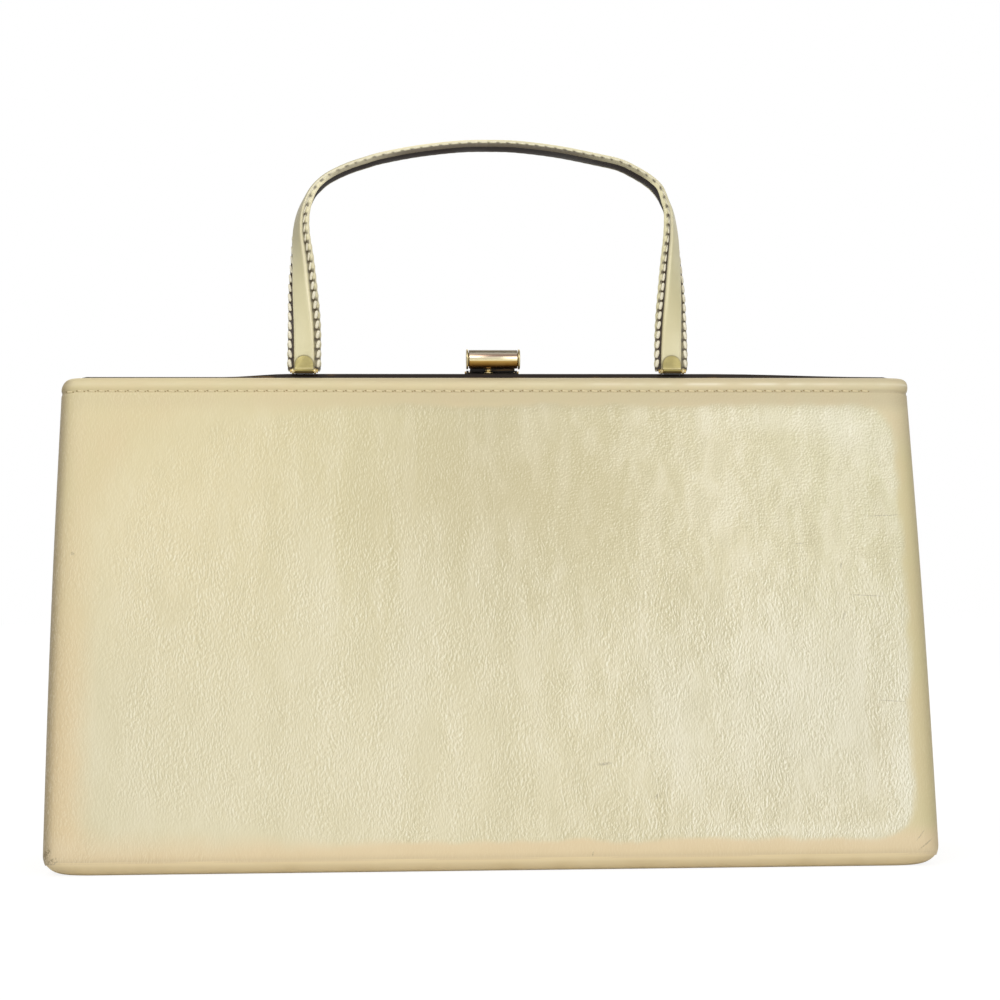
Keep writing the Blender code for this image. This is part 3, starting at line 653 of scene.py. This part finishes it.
def wallForm(spread, run, face):
    # the leather's outer surface: spread goes from -1 to 1 across, run is the distance up and over the edge
    w = wall
    length = wallShell["length"]
    faceTop = length - w["topRoll"]
    crest = faceTop + w["topRoll"] * math.pi / 2
    roll = np.clip((run - faceTop) / w["topRoll"], 0, math.pi)
    tuck = np.clip(run - faceTop - math.pi * w["topRoll"], 0, None)
    up = np.minimum(run, faceTop) + w["topRoll"] * np.sin(roll) - tuck
    height = wallFoot.z + run * math.cos(wallShell["slant"])
    drop = length - run
    onFace = 1 - rise(run, faceTop - 0.2 * mm, faceTop + 1 * mm)
    groove = ridge(drop, w["stitchDrop"], w["grooveWidth"]) * w["grooveDepth"]

    # the outline, with its rounded corners and a nick where the seam runs out
    corner = np.where(spread * face > 0, w["cornerLeft"], w["cornerRight"])
    inset = np.where(run < crest, roundInset(length - up, corner),
                     corner + w["tuckInset"] * rise(run, crest, crest + 3 * mm))
    half = wallHalf(np.minimum(run, faceTop)) - roundInset(height, w["footRound"]) - inset - 0.8 * groove

    # the leather turns back over the sides, the foot and the rolled top edge
    reach = w["edgeReach"]
    arc = 1.27 * reach
    along = np.abs(spread) * (half - reach + arc)
    side = np.sin(np.clip((along - (half - reach)) / arc, 0, 1) * math.pi / 2)
    foot = np.clip((reach - height) / reach, 0, 1)
    across = np.where(side > 0, half - reach + reach * side, along)
    turn = np.clip(side ** 2 * (1 - foot ** 2) + foot ** 2, 0, 1)
    depth = w["edgeDepth"] * (1 - np.sqrt(1 - turn)) * (1 - 0.75 * rise(run, length - 7 * mm, crest))
    depth = depth + w["topRoll"] * (1 - np.cos(roll))

    # the puffed band over the groove, the padded face, and its uneven filling
    band = np.clip(drop / w["stitchDrop"], 0, 1)
    puff = w["bandPuff"] * np.sin(math.pi * band) * (drop < w["stitchDrop"])
    share = np.clip(across / half, 0, 1)
    crown = w["crown"] * (1 - share ** 2) * (1 - (2 * np.clip(run / length, 0, 1) - 1) ** 2)
    flat = np.stack([across * np.sign(spread), 0 * run, run], axis=1)
    lumps = waves(flat, 38 * mm, 3 + face) * w["sag"]
    dents = w["dent"] * ridge(flat[:, 0] + w["dentLean"] * run, w["dentPlace"], w["dentWidth"])
    dents = dents * rise(run, *w["dentFoot"]) * (1 - rise(run, *w["dentTop"]))
    inField = (1 - side) * (1 - foot)
    depth = depth + onFace * (groove - puff - crown * inField + (lumps + dents) * inField)
    return {"points": placeOnWall(flat[:, 0], up, depth, face), "flat": flat, "half": half, "side": side,
            "drop": drop, "onFace": onFace}


def addWallTones(piece, form, face):
    # what the leather's material reads: where it is grained and warm, and where its painted highlights and
    # painted shade lie
    w = wall
    flat, drop, onFace = form["flat"], form["drop"], form["onFace"]
    x, up = flat[:, 0] * -face, flat[:, 2]
    inset = fieldInset(flat, form["half"], face)
    softness = 1.6 * mm + 20 * mm * rise(-x, 40 * mm, 125 * mm)
    grained = np.maximum(rise(inset, -0.5 * mm, softness), 0.10 + 0.26 * rise(-x, 60 * mm, 120 * mm))
    grained = grained * (0.72 + 0.06 * rise(x, -120 * mm, 0) + 0.36 * rise(x, 10 * mm, 95 * mm))
    grained = grained * (1 - 0.4 * rise(up, 92 * mm, 130 * mm))
    addValues(piece, "field", grained * onFace * (drop > w["stitchDrop"]))
    leftward = rise(-x, 10 * mm, 130 * mm)
    shore = rise(inset, -0.7 * mm - 5 * mm * leftward, 1.6 * mm + 6 * mm * leftward)
    addValues(piece, "shore", shore * onFace)
    # painted highlight: a pale line along the bead above the seam, stronger to the right
    beadHighlight = ridge(drop, *w["beadHighlightLine"]) * (0.2 + 0.8 * rise(x, 0, 90 * mm))
    addValues(piece, "crest", beadHighlight * onFace * np.clip(0.6 + waves(flat, 9 * mm, 17), 0, 1))
    # painted highlight: a sheen just inside the field's border on the right, strongest low down
    border = ridge(inset, *w["shiningLine"]) * rise(x, 30 * mm, 115 * mm)
    border = border * (0.4 + 0.6 * (1 - rise(up, 35 * mm, 80 * mm)))
    addValues(piece, "sheen", border * onFace * (face < 0))
    # painted shade: under the seam's groove, on the turned sides and along the rolled top edge; also darker
    # along the hem
    below = drop - w["stitchDrop"]
    paintedShadow = w["grooveShadeShare"] * ridge(below, *w["grooveShadeLine"])
    paintedShadow = np.maximum(paintedShadow, 0.34 * rise(below, 0, 0.6 * mm) * (1 - rise(below, 3 * mm, 9 * mm)))
    paintedShadow = paintedShadow * (0.32 + 0.68 * rise(x, -90 * mm, 0))
    turned = rise(form["side"], 0.5, 1.0) * np.where(x < 0, *w["turnedShadeShares"])
    hem = w["hemShare"] * ridge(up, *w["hemLine"])
    topShade = w["topShadeShare"] * (1 - rise(drop, *w["topShadeDrop"]))
    topShade = topShade * (0.35 + 0.65 * rise(x, -110 * mm, -20 * mm))
    addValues(piece, "paintedShade", np.maximum(np.maximum(np.maximum(paintedShadow, turned), hem) * onFace, topShade))


def addWall(name, face, body, stands):
    piece = addGrid(name, wall["columns"], wall["rows"])
    grid = readPoints(piece)
    form = wallForm(grid[:, 0], wallRun((grid[:, 1] + 1) / 2), face)
    writePoints(piece, form["points"])
    addWallTones(piece, form, face)
    turnFaces(piece, (0, face, 0))
    thicken(piece, wall["leather"])
    finishPiece(piece, body, creamLeather, stands)


addWall("front_wall_leather", -1, "front_panel", ["front_leather", "front_top_binding"])
addWall("rear_wall_leather", 1, "rear_panel", ["rear_leather", "rear_top_binding"])
print("walls done")


# the sewn line under the top edge

seam = {
    "pitch": 3.4 * mm, "length": 3.3 * mm, "thick": 0.72 * mm,
    "brightShare": 0.24,    # of the length, each side of its middle
    "start": -143.6 * mm, "end": 134.5 * mm,  # along the groove from the middle
    "seat": 0.12 * mm,
    "slopeReach": 0.004,    # share of the half width, to each side, over which the groove's slope is felt
}


def addStitchShape(name, length, thick, endShare):
    # one stitch: a short fat loaf of thread, modelled along X, dark from endShare of its length outward, for
    # its holes and painted shade
    bpy.ops.object.select_all(action="DESELECT")
    bpy.ops.mesh.primitive_uv_sphere_add(segments=8, ring_count=8, radius=0.5)
    piece = namePiece(name)
    points = readPoints(piece)[:, [2, 1, 0]]
    points[:, 0] = np.sign(points[:, 0]) * np.abs(points[:, 0] * 2) ** 0.75 / 2
    writePoints(piece, points * (length, thick, thick * 0.8))  # it lies a little flat
    addValues(piece, "holesAndShade", rise(np.abs(points[:, 0]), endShare, endShare + 0.1))
    startEditing(piece)
    bpy.ops.mesh.remove_doubles(threshold=0.001 * mm)
    bpy.ops.mesh.normals_make_consistent(inside=False)
    bpy.ops.object.mode_set(mode="OBJECT")
    return piece


def copyAlong(name, shape, places):
    # copies of one shape, each with its own mesh, joined into one piece
    copies = []
    for place in places:
        mesh = shape.data.copy()
        mesh.transform(place)
        copy = bpy.data.objects.new(name, mesh)
        bpy.context.scene.collection.objects.link(copy)
        copies.append(copy)
    bpy.data.objects.remove(shape)
    pickOnly(copies[0])
    for copy in copies:
        copy.select_set(True)
    bpy.ops.object.join()
    return namePiece(name)


def addTopSeam(name, face, body):
    # stitches at equal steps along the groove, each lying on the leather there
    s = seam
    shape = addStitchShape(name, s["length"], s["thick"], s["brightShare"])
    run = wallShell["length"] - wall["stitchDrop"]
    whole = float(wallHalf(np.array([run]))[0]) + 0.27 * wall["edgeReach"]
    places = []
    for i in range(int((s["end"] - s["start"]) / s["pitch"]) + 1):
        spread = -face * (s["start"] + i * s["pitch"]) / whole
        form = wallForm(np.array([spread, spread - s["slopeReach"], spread + s["slopeReach"], spread]),
                        np.array([run, run, run, run + 2 * mm]), face)["points"]
        along = Vector(form[2] - form[1]).normalized()
        outward = along.cross(Vector(form[3] - form[0])).normalized()
        outward = outward if outward.y * face > 0 else -outward
        spot = Vector(form[0]) + outward * s["seat"]
        tilt = math.radians(6 * noise.noise(Vector((i * 0.7, face, 0))) - 7)
        axes = Matrix((along, outward.cross(along), outward)).transposed().to_4x4()
        places.append(Matrix.Translation(spot) @ axes @ Matrix.Rotation(tilt, 4, "Z"))
    piece = copyAlong(name, shape, places)
    finishPiece(piece, body, seamThread, angle=80)


addTopSeam("front_top_stitches", -1, "front_panel")
addTopSeam("rear_top_stitches", 1, "rear_panel")
print("seams sewn")


# base

base = {
    "columns": 132, "rows": 60,
    "cornerWide": 9 * mm, "cornerDeep": 5.6 * mm,  # the plan's corners, as on the walls
    "foldIn": 0.85 * mm,    # the walls' feet stand this far in from the hinges
    "lipOut": 0.12 * mm, "lipSide": 0.4 * mm, "lipRise": 0.45 * mm,
    "edgeRound": 4.6 * mm,
    "flatShare": 0.72,      # of the grid, for the flat sole
    "cornerShare": 0.85,
    "leather": 1.1 * mm,
}


def shapeBase(piece):
    b = base
    grid = readPoints(piece)
    u, v = grid[:, 0], grid[:, 1]
    level = np.maximum(np.maximum(np.abs(u), np.abs(v)), 1e-9)
    a, c = np.abs(u) / level, np.abs(v) / level
    start = b["cornerShare"]
    quarter = math.pi / 4
    angle = np.where(a >= c, quarter * np.clip((c - start) / (1 - start), 0, 1),
                     math.pi / 2 - quarter * np.clip((a - start) / (1 - start), 0, 1))
    step = np.clip((level - b["flatShare"]) / (1 - b["flatShare"]), 0, 1)
    top = wallFoot.z + b["lipRise"]
    z = top * (1 - np.cos(step * math.pi / 2))
    lip = b["lipOut"] * rise(z, top - 1.0 * mm, top - 0.3 * mm)
    halfX = wallShell["halfFoot"] + b["lipSide"] - roundInset(z, wall["footRound"])
    halfY = -wallFoot.y - b["foldIn"] + lip - roundInset(z, b["edgeRound"])
    straightX = (halfX - b["cornerWide"]) * np.clip(a / start, 0, 1)
    straightY = (halfY - b["cornerDeep"]) * np.clip(c / start, 0, 1)
    inward = np.where(level < b["flatShare"], level / b["flatShare"], 1)
    x = np.sign(u) * (straightX + b["cornerWide"] * np.cos(angle)) * inward
    y = np.sign(v) * (straightY + b["cornerDeep"] * np.sin(angle)) * inward
    x = np.where(np.abs(u) < 1e-6, 0, x)
    y = np.where(np.abs(v) < 1e-6, 0, y)
    writePoints(piece, np.stack([x, y, z], axis=1))
    # painted highlight: paler towards the base's upper edge, against the shade where its surface turns under
    addValues(piece, "rim", 0.6 * rise(z, 2.6 * mm, 4.3 * mm))


def addBase():
    piece = addGrid("base_leather", base["columns"], base["rows"])
    shapeBase(piece)
    turnFaces(piece, (0, 0, -1))
    thicken(piece, base["leather"])
    finishPiece(piece, "base", edgeLeather, ["bottom_leather"])


addBase()
print("base done")


# side gussets: each half hangs between its wall and the fold in the middle of the side

gusset = {
    "columns": 26, "rows": 80,
    "footHeight": 5.4 * mm, "topHeight": 149.5 * mm,
    "seatDepth": 4.5 * mm, "seatInset": 2.4 * mm,
    "foldFoot": 2.2 * mm, "foldTop": 27.0 * mm,
    "footFlare": 2.4 * mm, "flareHeight": 4.0 * mm,  # the fold's foot stands out over the base's lip
    "foldGap": 0.15 * mm, "foldShift": 0.35 * mm,
    "belly": 1.6 * mm, "crumple": 0.5 * mm, "crumpleSize": 14 * mm,
    "leather": 0.9 * mm,
}


def addGusset(name, side, face, node):
    g = gusset
    piece = addGrid(name, g["columns"], g["rows"])
    grid = (readPoints(piece)[:, :2] + 1) / 2
    inward, share = grid[:, 0], grid[:, 1]
    height = g["footHeight"] + (g["topHeight"] - g["footHeight"]) * share
    up = (height - wallFoot.z) / math.cos(wallShell["slant"])
    outerX = wallHalf(up) - g["seatInset"]
    seat = placeOnWall(outerX, up, 0 * up + g["seatDepth"], -1)
    fold = g["foldFoot"] + (g["foldTop"] - g["foldFoot"]) * share
    # a shallow S from the wall to the fold
    ease = inward + 0.05 * np.sin(2 * math.pi * inward)
    flare = g["footFlare"] * np.exp(-(height - g["footHeight"]) / g["flareHeight"])
    x = seat[:, 0] - fold * inward + flare * inward ** 2
    # the sheet leans at the fold, so its thickness takes more of the gap there
    lean = fold / np.hypot(fold, seat[:, 1])
    y = seat[:, 1] * (1 - ease) - (g["foldGap"] + g["leather"] / 2 * lean) * ease
    # the two sides' folds stand a little apart in depth, so no light comes straight through
    y = y - face * side * g["foldShift"] * ease
    swell = np.sin(math.pi * inward)
    belly = g["belly"] * swell * (0.3 + 0.7 * share)
    sample = np.stack([inward * 30 * mm, 0 * height, height * 0.6], axis=1)
    crumple = waves(sample, g["crumpleSize"], side + 2 * face) * g["crumple"] * swell ** 0.5
    x = x + (belly + crumple) * 0.35
    y = y - belly * 0.2 * np.exp(-share * 2)
    writePoints(piece, np.stack([x * side, -y * face, height], axis=1))
    addValues(piece, "wallShare", 1 - inward)
    turnFaces(piece, (side, 0, 0))
    thicken(piece, g["leather"], 0.0)
    smoothShade(piece)
    giveMaterial(piece, edgeLeather)
    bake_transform(piece)
    # each point's share towards the wall is read back
    values = np.empty(len(piece.data.vertices), np.float32)
    piece.data.attributes["wallShare"].data.foreach_get("value", values)
    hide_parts(node)


for sideName, side in (("left", -1), ("right", 1)):
    addGusset(sideName + "_gusset_front_half", side, -1, "gusset_" + sideName + "_front")
    addGusset(sideName + "_gusset_rear_half", side, 1, "gusset_" + sideName + "_rear")
print("gussets hung")


# linings and pocket

lining = {
    "columns": 90, "rows": 60,
    "sideMargin": 6.2 * mm, "footMargin": 2.2 * mm, "topMargin": 12.0 * mm,
    "depth": 3.65 * mm, "thick": 0.6 * mm, "ripple": 0.12 * mm, "hem": 0.25 * mm,
    "pocketWidth": 139 * mm, "pocketHeight": 84 * mm, "pocketTop": 36.5 * mm, "pocketGape": 1.1 * mm,
    "pocketOut": 0.75 * mm, "pocketRipple": 0.15 * mm,
    "baseMargin": 0.4 * mm,
    "thin": 0.5 * mm,       # the cloth of the pocket and of the base
}


def finishLining(piece, outward, thick, body, node):
    turnFaces(piece, outward)
    thicken(piece, thick, 0.0)
    finishPiece(piece, body, liningCloth, [node])


def addWallLining(name, face, body, node):
    n = lining
    piece = addGrid(name, n["columns"], n["rows"])
    grid = readPoints(piece)
    top = wallShell["length"] - n["topMargin"]
    up = n["footMargin"] + (top - n["footMargin"]) * (grid[:, 1] + 1) / 2
    half = wallHalf(up) - n["sideMargin"]
    across = grid[:, 0] * half
    flat = np.stack([across, 0 * up, up], axis=1)
    hem = np.maximum(rise(up, top - 4 * mm, top - 3 * mm), rise(np.abs(grid[:, 0]), 0.975, 0.985))
    depth = n["depth"] + waves(flat, 20 * mm, 21 + face) * n["ripple"] + n["hem"] * hem * 0.5
    writePoints(piece, placeOnWall(across, up, depth, face))
    finishLining(piece, (0, -face, 0), n["thick"], body, node)


def addPocket():
    n = lining
    piece = addGrid("slip_pocket_cloth", 60, 40)
    grid = readPoints(piece)
    up = wallShell["length"] - n["pocketTop"] - n["pocketHeight"] * (1 - grid[:, 1]) / 2
    across = grid[:, 0] * n["pocketWidth"] / 2
    share = (grid[:, 1] + 1) / 2
    gape = n["pocketGape"] * share ** 3 * (1 - grid[:, 0] ** 2)
    flat = np.stack([across, 0 * up, up], axis=1)
    depth = n["depth"] + n["pocketOut"] + gape + waves(flat, 22 * mm, 31) * n["pocketRipple"]
    hem = n["hem"] * rise(share, 0.955, 0.965)
    writePoints(piece, placeOnWall(across, up, depth + hem, 1))
    finishLining(piece, (0, -1, 0), n["thin"], "rear_panel", "slip_pocket")


def addBaseLining():
    n = lining
    low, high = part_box("bottom_lining")
    piece = addGrid("base_lining_cloth", 90, 26)
    grid = readPoints(piece)
    x, y = grid[:, 0] * (high.x - n["baseMargin"]), grid[:, 1] * (high.y - n["baseMargin"])
    z = (low.z + high.z) / 2 + waves(np.stack([x, y, 0 * x], axis=1), 26 * mm, 41) * n["ripple"]
    writePoints(piece, np.stack([x, y, z], axis=1))
    finishLining(piece, (0, 0, 1), n["thin"], "base", "bottom_lining")


addWallLining("front_lining_cloth", -1, "front_panel", "front_lining")
addWallLining("rear_lining_cloth", 1, "rear_panel", "rear_lining")
addPocket()
addBaseLining()
print("lining in")


# handle

strap = {
    "pathShares": [  # the strap's middle line: shares of half the span and of the rise
        (-1.0, 0.0), (-1.0, 0.2), (-1.008, 0.356), (-1.013, 0.485), (-1.019, 0.604), (-1.004, 0.693),
        (-0.969, 0.762), (-0.936, 0.802), (-0.885, 0.842), (-0.821, 0.873), (-0.743, 0.901),
        (-0.661, 0.923), (-0.578, 0.943), (-0.384, 0.974), (-0.155, 0.996), (0.02, 1.0), (0.171, 0.996),
        (0.389, 0.975), (0.611, 0.94), (0.722, 0.919), (0.801, 0.889), (0.875, 0.853), (0.932, 0.811),
        (0.968, 0.752), (0.992, 0.7), (1.006, 0.6), (1.007, 0.5), (1.006, 0.35), (1.002, 0.2), (1.0, 0.0)],
    "span": 128 * mm, "rise": 78.8 * mm, "foot": 169.3 * mm, "depthPlace": -1.75 * mm,
    "twistStart": 0.07, "twistEnd": 0.81,
    "rings": 360,
    "stitchPitch": 3.3 * mm, "stitchPlace": 4.95 * mm, "stitchLength": 3.1 * mm, "stitchThick": 1.3 * mm,
    "stitchHeight": 0.75 * mm, "stitchSlant": 13,  # degrees
    "stitchShrink": 0.4,        # over the arch the cord is pulled tighter
    "scallop": 0.14 * mm,
    "stitchMargin": 1.0 * mm,   # before the first stitch and after the last
    "footRound": 0.8 * mm, "footNarrow": 0.93,
    "finePoints": 24,           # between two points of pathShares
    # from the section's middle: the padded face, the groove beside it, the wrapped edge
    "padHalf": 3.4 * mm, "rimLine": (3.2 * mm, 0.35 * mm), "grooveStart": (3.45 * mm, 3.65 * mm),
    "scallopStart": (4.4 * mm, 5.5 * mm), "wrapStart": (5.2 * mm, 5.6 * mm), "wrapHalf": 5 * mm,
}
# half of each section, from the middle of its top to the middle of its foot: across and outward, mm
topLeather = [(0, 1.9), (1.2, 1.88), (2.2, 1.83), (2.75, 1.76), (3.15, 1.58), (3.4, 1.25), (3.5, 0.85),
              (3.62, 0.5), (3.85, 0.32), (4.2, 0.35), (4.6, 0.45), (5.1, 0.5), (5.5, 0.45), (5.72, 0.28),
              (5.8, 0.0), (5.8, -0.45), (5.76, -0.9), (5.55, -1.12), (5.25, -1.08), (5.12, -0.8),
              (5.1, -0.22), (2.5, -0.2), (0, -0.2)]
underLeather = [(0, -0.24), (2.6, -0.24), (4.7, -0.26), (4.93, -0.38), (4.97, -0.6), (4.93, -0.82),
                (4.7, -0.96), (4.2, -1.04), (3.4, -1.18), (2.4, -1.38), (1.2, -1.5), (0, -1.54)]


def strapLine():
    # points, tangents and distances along the strap's middle line
    s = strap
    half = s["span"] / 2
    marks = [Vector((half * x, s["depthPlace"], s["foot"] + s["rise"] * z)) for x, z in s["pathShares"]]
    marks = [2 * marks[0] - marks[1]] + marks + [2 * marks[-1] - marks[-2]]
    fine = []
    for i in range(1, len(marks) - 2):
        before, start, end, after = marks[i - 1:i + 3]
        for t in np.arange(s["finePoints"]) / s["finePoints"]:
            fine.append(0.5 * (2 * start + (end - before) * t
                               + (2 * before - 5 * start + 4 * end - after) * t ** 2
                               + (3 * start - before - 3 * end + after) * t ** 3))
    fine.append(marks[-2])
    fine = np.array(fine)
    runs = np.concatenate([[0], np.cumsum(np.linalg.norm(np.diff(fine, axis=0), axis=1))])
    return fine, runs


strapFine, strapRuns = strapLine()
strapLength = float(strapRuns[-1])
strapStitches = int((strapLength - 2 * strap["stitchMargin"]) / strap["stitchPitch"])
strapSpacing = (strapLength - 2 * strap["stitchMargin"]) / strapStitches


def strapMiddle(run):
    return np.stack([np.interp(run, strapRuns, strapFine[:, i]) for i in range(3)], axis=1)


def strapAxes(run):
    # the middle point, the direction along, the direction across and the outward one at a distance along
    s = strap
    place = strapMiddle(run)
    step = 0.4 * mm
    along = strapMiddle(run + step) - strapMiddle(run - step)
    along /= np.linalg.norm(along, axis=1)[:, None]
    share = (place[:, 2] - s["foot"]) / s["rise"]
    turned = np.clip((share - s["twistStart"]) / (s["twistEnd"] - s["twistStart"]), 0, 1)
    tilt = math.pi / 2 * (1 - turned)
    level = np.stack([-along[:, 2], 0 * run, along[:, 0]], axis=1)
    front = np.array([[0.0, -1.0, 0.0]])
    outward = np.cos(tilt)[:, None] * level + np.sin(tilt)[:, None] * front
    across = np.cos(tilt)[:, None] * front - np.sin(tilt)[:, None] * level
    return place, along, across, outward


def strapPoint(run, across, outward):
    place, _, sideways, up = strapAxes(run)
    return place + across[:, None] * sideways + outward[:, None] * up


def footShare(run):
    # the strap's corners are a little rounded at its two ends
    s = strap
    near = np.clip(np.minimum(run, strapLength - run) / s["footRound"], 0, 1)
    return s["footNarrow"] + (1 - s["footNarrow"]) * np.sqrt(1 - (1 - near) ** 2)


def addStrapLayer(name, half, ends, material, stands):
    # a closed section swept along the strap's line
    s = strap
    section = np.array(half + [(-x, h) for x, h in reversed(half[1:-1])] + [half[0]]) * mm
    piece = addGrid(name, len(section) - 1, s["rings"])
    grid = readPoints(piece)
    index = np.rint((grid[:, 0] + 1) / 2 * (len(section) - 1)).astype(int)
    run = ends + (grid[:, 1] + 1) / 2 * (strapLength - 2 * ends)
    across, outward = section[index, 0], section[index, 1]
    edge = rise(np.abs(across), *s["scallopStart"])
    wave = np.cos(2 * math.pi * (run - s["stitchMargin"]) / strapSpacing)  # 1 between two stitches
    pucker = -s["scallop"] * wave * edge
    across = np.sign(across) * (np.abs(across) + pucker) * footShare(run)
    writePoints(piece, strapPoint(run, across, outward))
    # the groove beside the padding is painted shade; between the stitches the leather is darkened for the
    # stitch holes and painted shade
    side = np.abs(section[index, 0])
    outer = rise(side, *s["wrapStart"])
    gap = 0.9 * rise(wave, -0.1, 0.9)
    dark = rise(side, *s["grooveStart"]) * (1 - outer + outer * gap)
    # the grooves that face the light are paler
    lit = (section[index, 0] * (strapLength / 2 - run) > 0) * (1 - 0.9 * gap)
    dark = dark * (section[index, 1] > -0.1 * mm) * (1 - 0.4 * lit)
    # painted shade: the wrapped edge is darker over the arch, and so is the left leg's face where it turns
    # away
    share = (strapAxes(run)[0][:, 2] - s["foot"]) / s["rise"]
    edgeWall = (section[index, 1] < 0.1 * mm) * (side > s["wrapHalf"])
    arch = 0.6 * rise(share, 0.82, 0.88) + 0.3 * rise(share, 0.92, 0.97)
    leftLeg = run < strapLength / 2
    away = 0.42 * rise(share, 0.35, 0.7) * (1 - rise(share, 0.9, 0.96)) * leftLeg * (side < s["padHalf"])
    addValues(piece, "holesAndShade", np.maximum(np.maximum(dark, edgeWall * arch), away))
    # painted highlight along the padded face's rims, stronger on the lit side, and along the left leg's
    # wrapped edge
    rim = ridge(side, *s["rimLine"]) * (0.35 + 0.45 * (lit > 0))
    addValues(piece, "rim", np.maximum(rim * (1 - away), 0.6 * edgeWall * leftLeg))
    # the section is closed along the strap, and its two ends get a face
    startEditing(piece)
    bpy.ops.mesh.remove_doubles(threshold=0.01 * mm)
    bpy.ops.mesh.select_all(action="DESELECT")
    bpy.ops.mesh.select_non_manifold()
    bpy.ops.mesh.edge_face_add()
    bpy.ops.mesh.select_all(action="SELECT")
    bpy.ops.mesh.normals_make_consistent(inside=False)
    bpy.ops.object.mode_set(mode="OBJECT")
    finishPiece(piece, "handle", material, stands, 50)


def addStrapStitches():
    s = strap
    shape = addStitchShape("handle_cord_stitches", s["stitchLength"], s["stitchThick"], 0.4)
    places = []
    for row in (-1, 1):
        for i in range(strapStitches):
            run = np.array([s["stitchMargin"] + (i + 0.5) * strapSpacing])
            place, along, across, outward = [part[0] for part in strapAxes(run)]
            share = (place[2] - s["foot"]) / s["rise"]
            size = 1 - s["stitchShrink"] * rise(share, 0.28, 0.55)
            lift = s["stitchHeight"] * (0.17 + 0.83 * size)
            spot = place + across * row * s["stitchPlace"] + outward * lift
            if np.dot(np.cross(along, across), outward) < 0:
                along = -along
            axes = Matrix((Vector(along), Vector(across), Vector(outward))).transposed().to_4x4()
            sway = 5 * noise.noise(Vector((i * 1.3, row * 5.0, 0.5)))
            slant = math.radians(sway - s["stitchSlant"] * row)
            slim = Matrix.Diagonal((1, size, size, 1))
            places.append(Matrix.Translation(spot) @ axes @ Matrix.Rotation(slant, 4, "Z") @ slim)
    piece = copyAlong("handle_cord_stitches", shape, places)
    finishPiece(piece, "handle", cordThread, angle=80)


addStrapLayer("handle_strap_leather", topLeather, 0.0, strapLeather,
              ["handle_strap", "handle_core"])
addStrapLayer("handle_underside_leather", underLeather, 0.1 * mm, brownLeather,
              ["handle_lining"])
addStrapStitches()
print("handle sewn")


# metal parts: the frame's own solids, with their edges broken

frameFall = {"left": (69 * mm, 92 * mm), "right": (78 * mm, 138 * mm), "fall": 1.1 * mm, "cuts": 6}


def lowerFrameEnds(piece):
    # the frame bows a little: its top runs down behind the leather towards the corners
    f = frameFall
    startEditing(piece)
    for side, (start, end) in ((-1, f["left"]), (1, f["right"])):
        for i in range(f["cuts"]):
            place = start + (end - start) * i / (f["cuts"] - 1)
            bpy.ops.mesh.select_all(action="SELECT")
            bpy.ops.mesh.bisect(plane_co=(side * place, 0, 0), plane_no=(1, 0, 0))
    bpy.ops.object.mode_set(mode="OBJECT")
    points = readPoints(piece)
    sink = f["fall"] * np.maximum(rise(-points[:, 0], *f["left"]), rise(points[:, 0], *f["right"]))
    points[:, 2] -= sink * rise(points[:, 2], wallTop.z - 6 * mm, wallTop.z - 1 * mm)
    writePoints(piece, points)


def addMetal(node, width, material, body):
    piece = bpy.data.objects.new(node + "_metal", frame["nodes"][node].data.copy())
    bpy.context.scene.collection.objects.link(piece)
    startEditing(piece)
    bpy.ops.mesh.remove_doubles(threshold=0.002 * mm)
    bpy.ops.mesh.dissolve_limited(angle_limit=math.radians(0.5))
    bpy.ops.object.mode_set(mode="OBJECT")
    softenEdges(piece, width)
    if node.endswith("_frame"):
        lowerFrameEnds(piece)
    finishPiece(piece, body, material, [node], 35)


metalParts = [  # node, width of its broken edges in mm, material, body
    ("front_frame", 0.35, frameLacquer, "front_frame"),
    ("rear_frame", 0.35, frameLacquer, "rear_frame"),
    ("frame_rivet_left", 0.12, brightGilt, "rear_frame"),
    ("frame_rivet_right", 0.12, brightGilt, "rear_frame"),
    ("handle_bracket_left", 0.06, paleGilt, "front_frame"),
    ("handle_bracket_right", 0.06, paleGilt, "front_frame"),
    ("handle_end_left", 0.2, satinGilt, "handle"),
    ("handle_end_right", 0.2, satinGilt, "handle"),
    # the clasp's bracket and flap take the dark lacquer partly so that they stand for the shade under the
    # tube
    ("clasp_bracket", 0.06, frameLacquer, "rear_frame"),
    ("clasp_flap", 0.1, frameLacquer, "clasp"),
    ("clasp_tube", 0.12, tubeGilt, "clasp"),
    ("tube_cap_left", 0.12, paleGilt, "clasp"),
    ("tube_cap_right", 0.12, paleGilt, "clasp"),
    ("clasp_post", 0.06, paleGilt, "front_frame"),
]
for node, width, material, body in metalParts:
    addMetal(node, width * mm, material, body)
for node in ("handle_pin_left", "handle_pin_right", "clasp_hinge_pin"):
    giveMaterial(frame["nodes"][node], brightGilt)
for node in ("bottom_board", "front_board", "rear_board"):
    giveMaterial(frame["nodes"][node], boardCard)
print("metal fitted")

bpy.context.view_layer.update()
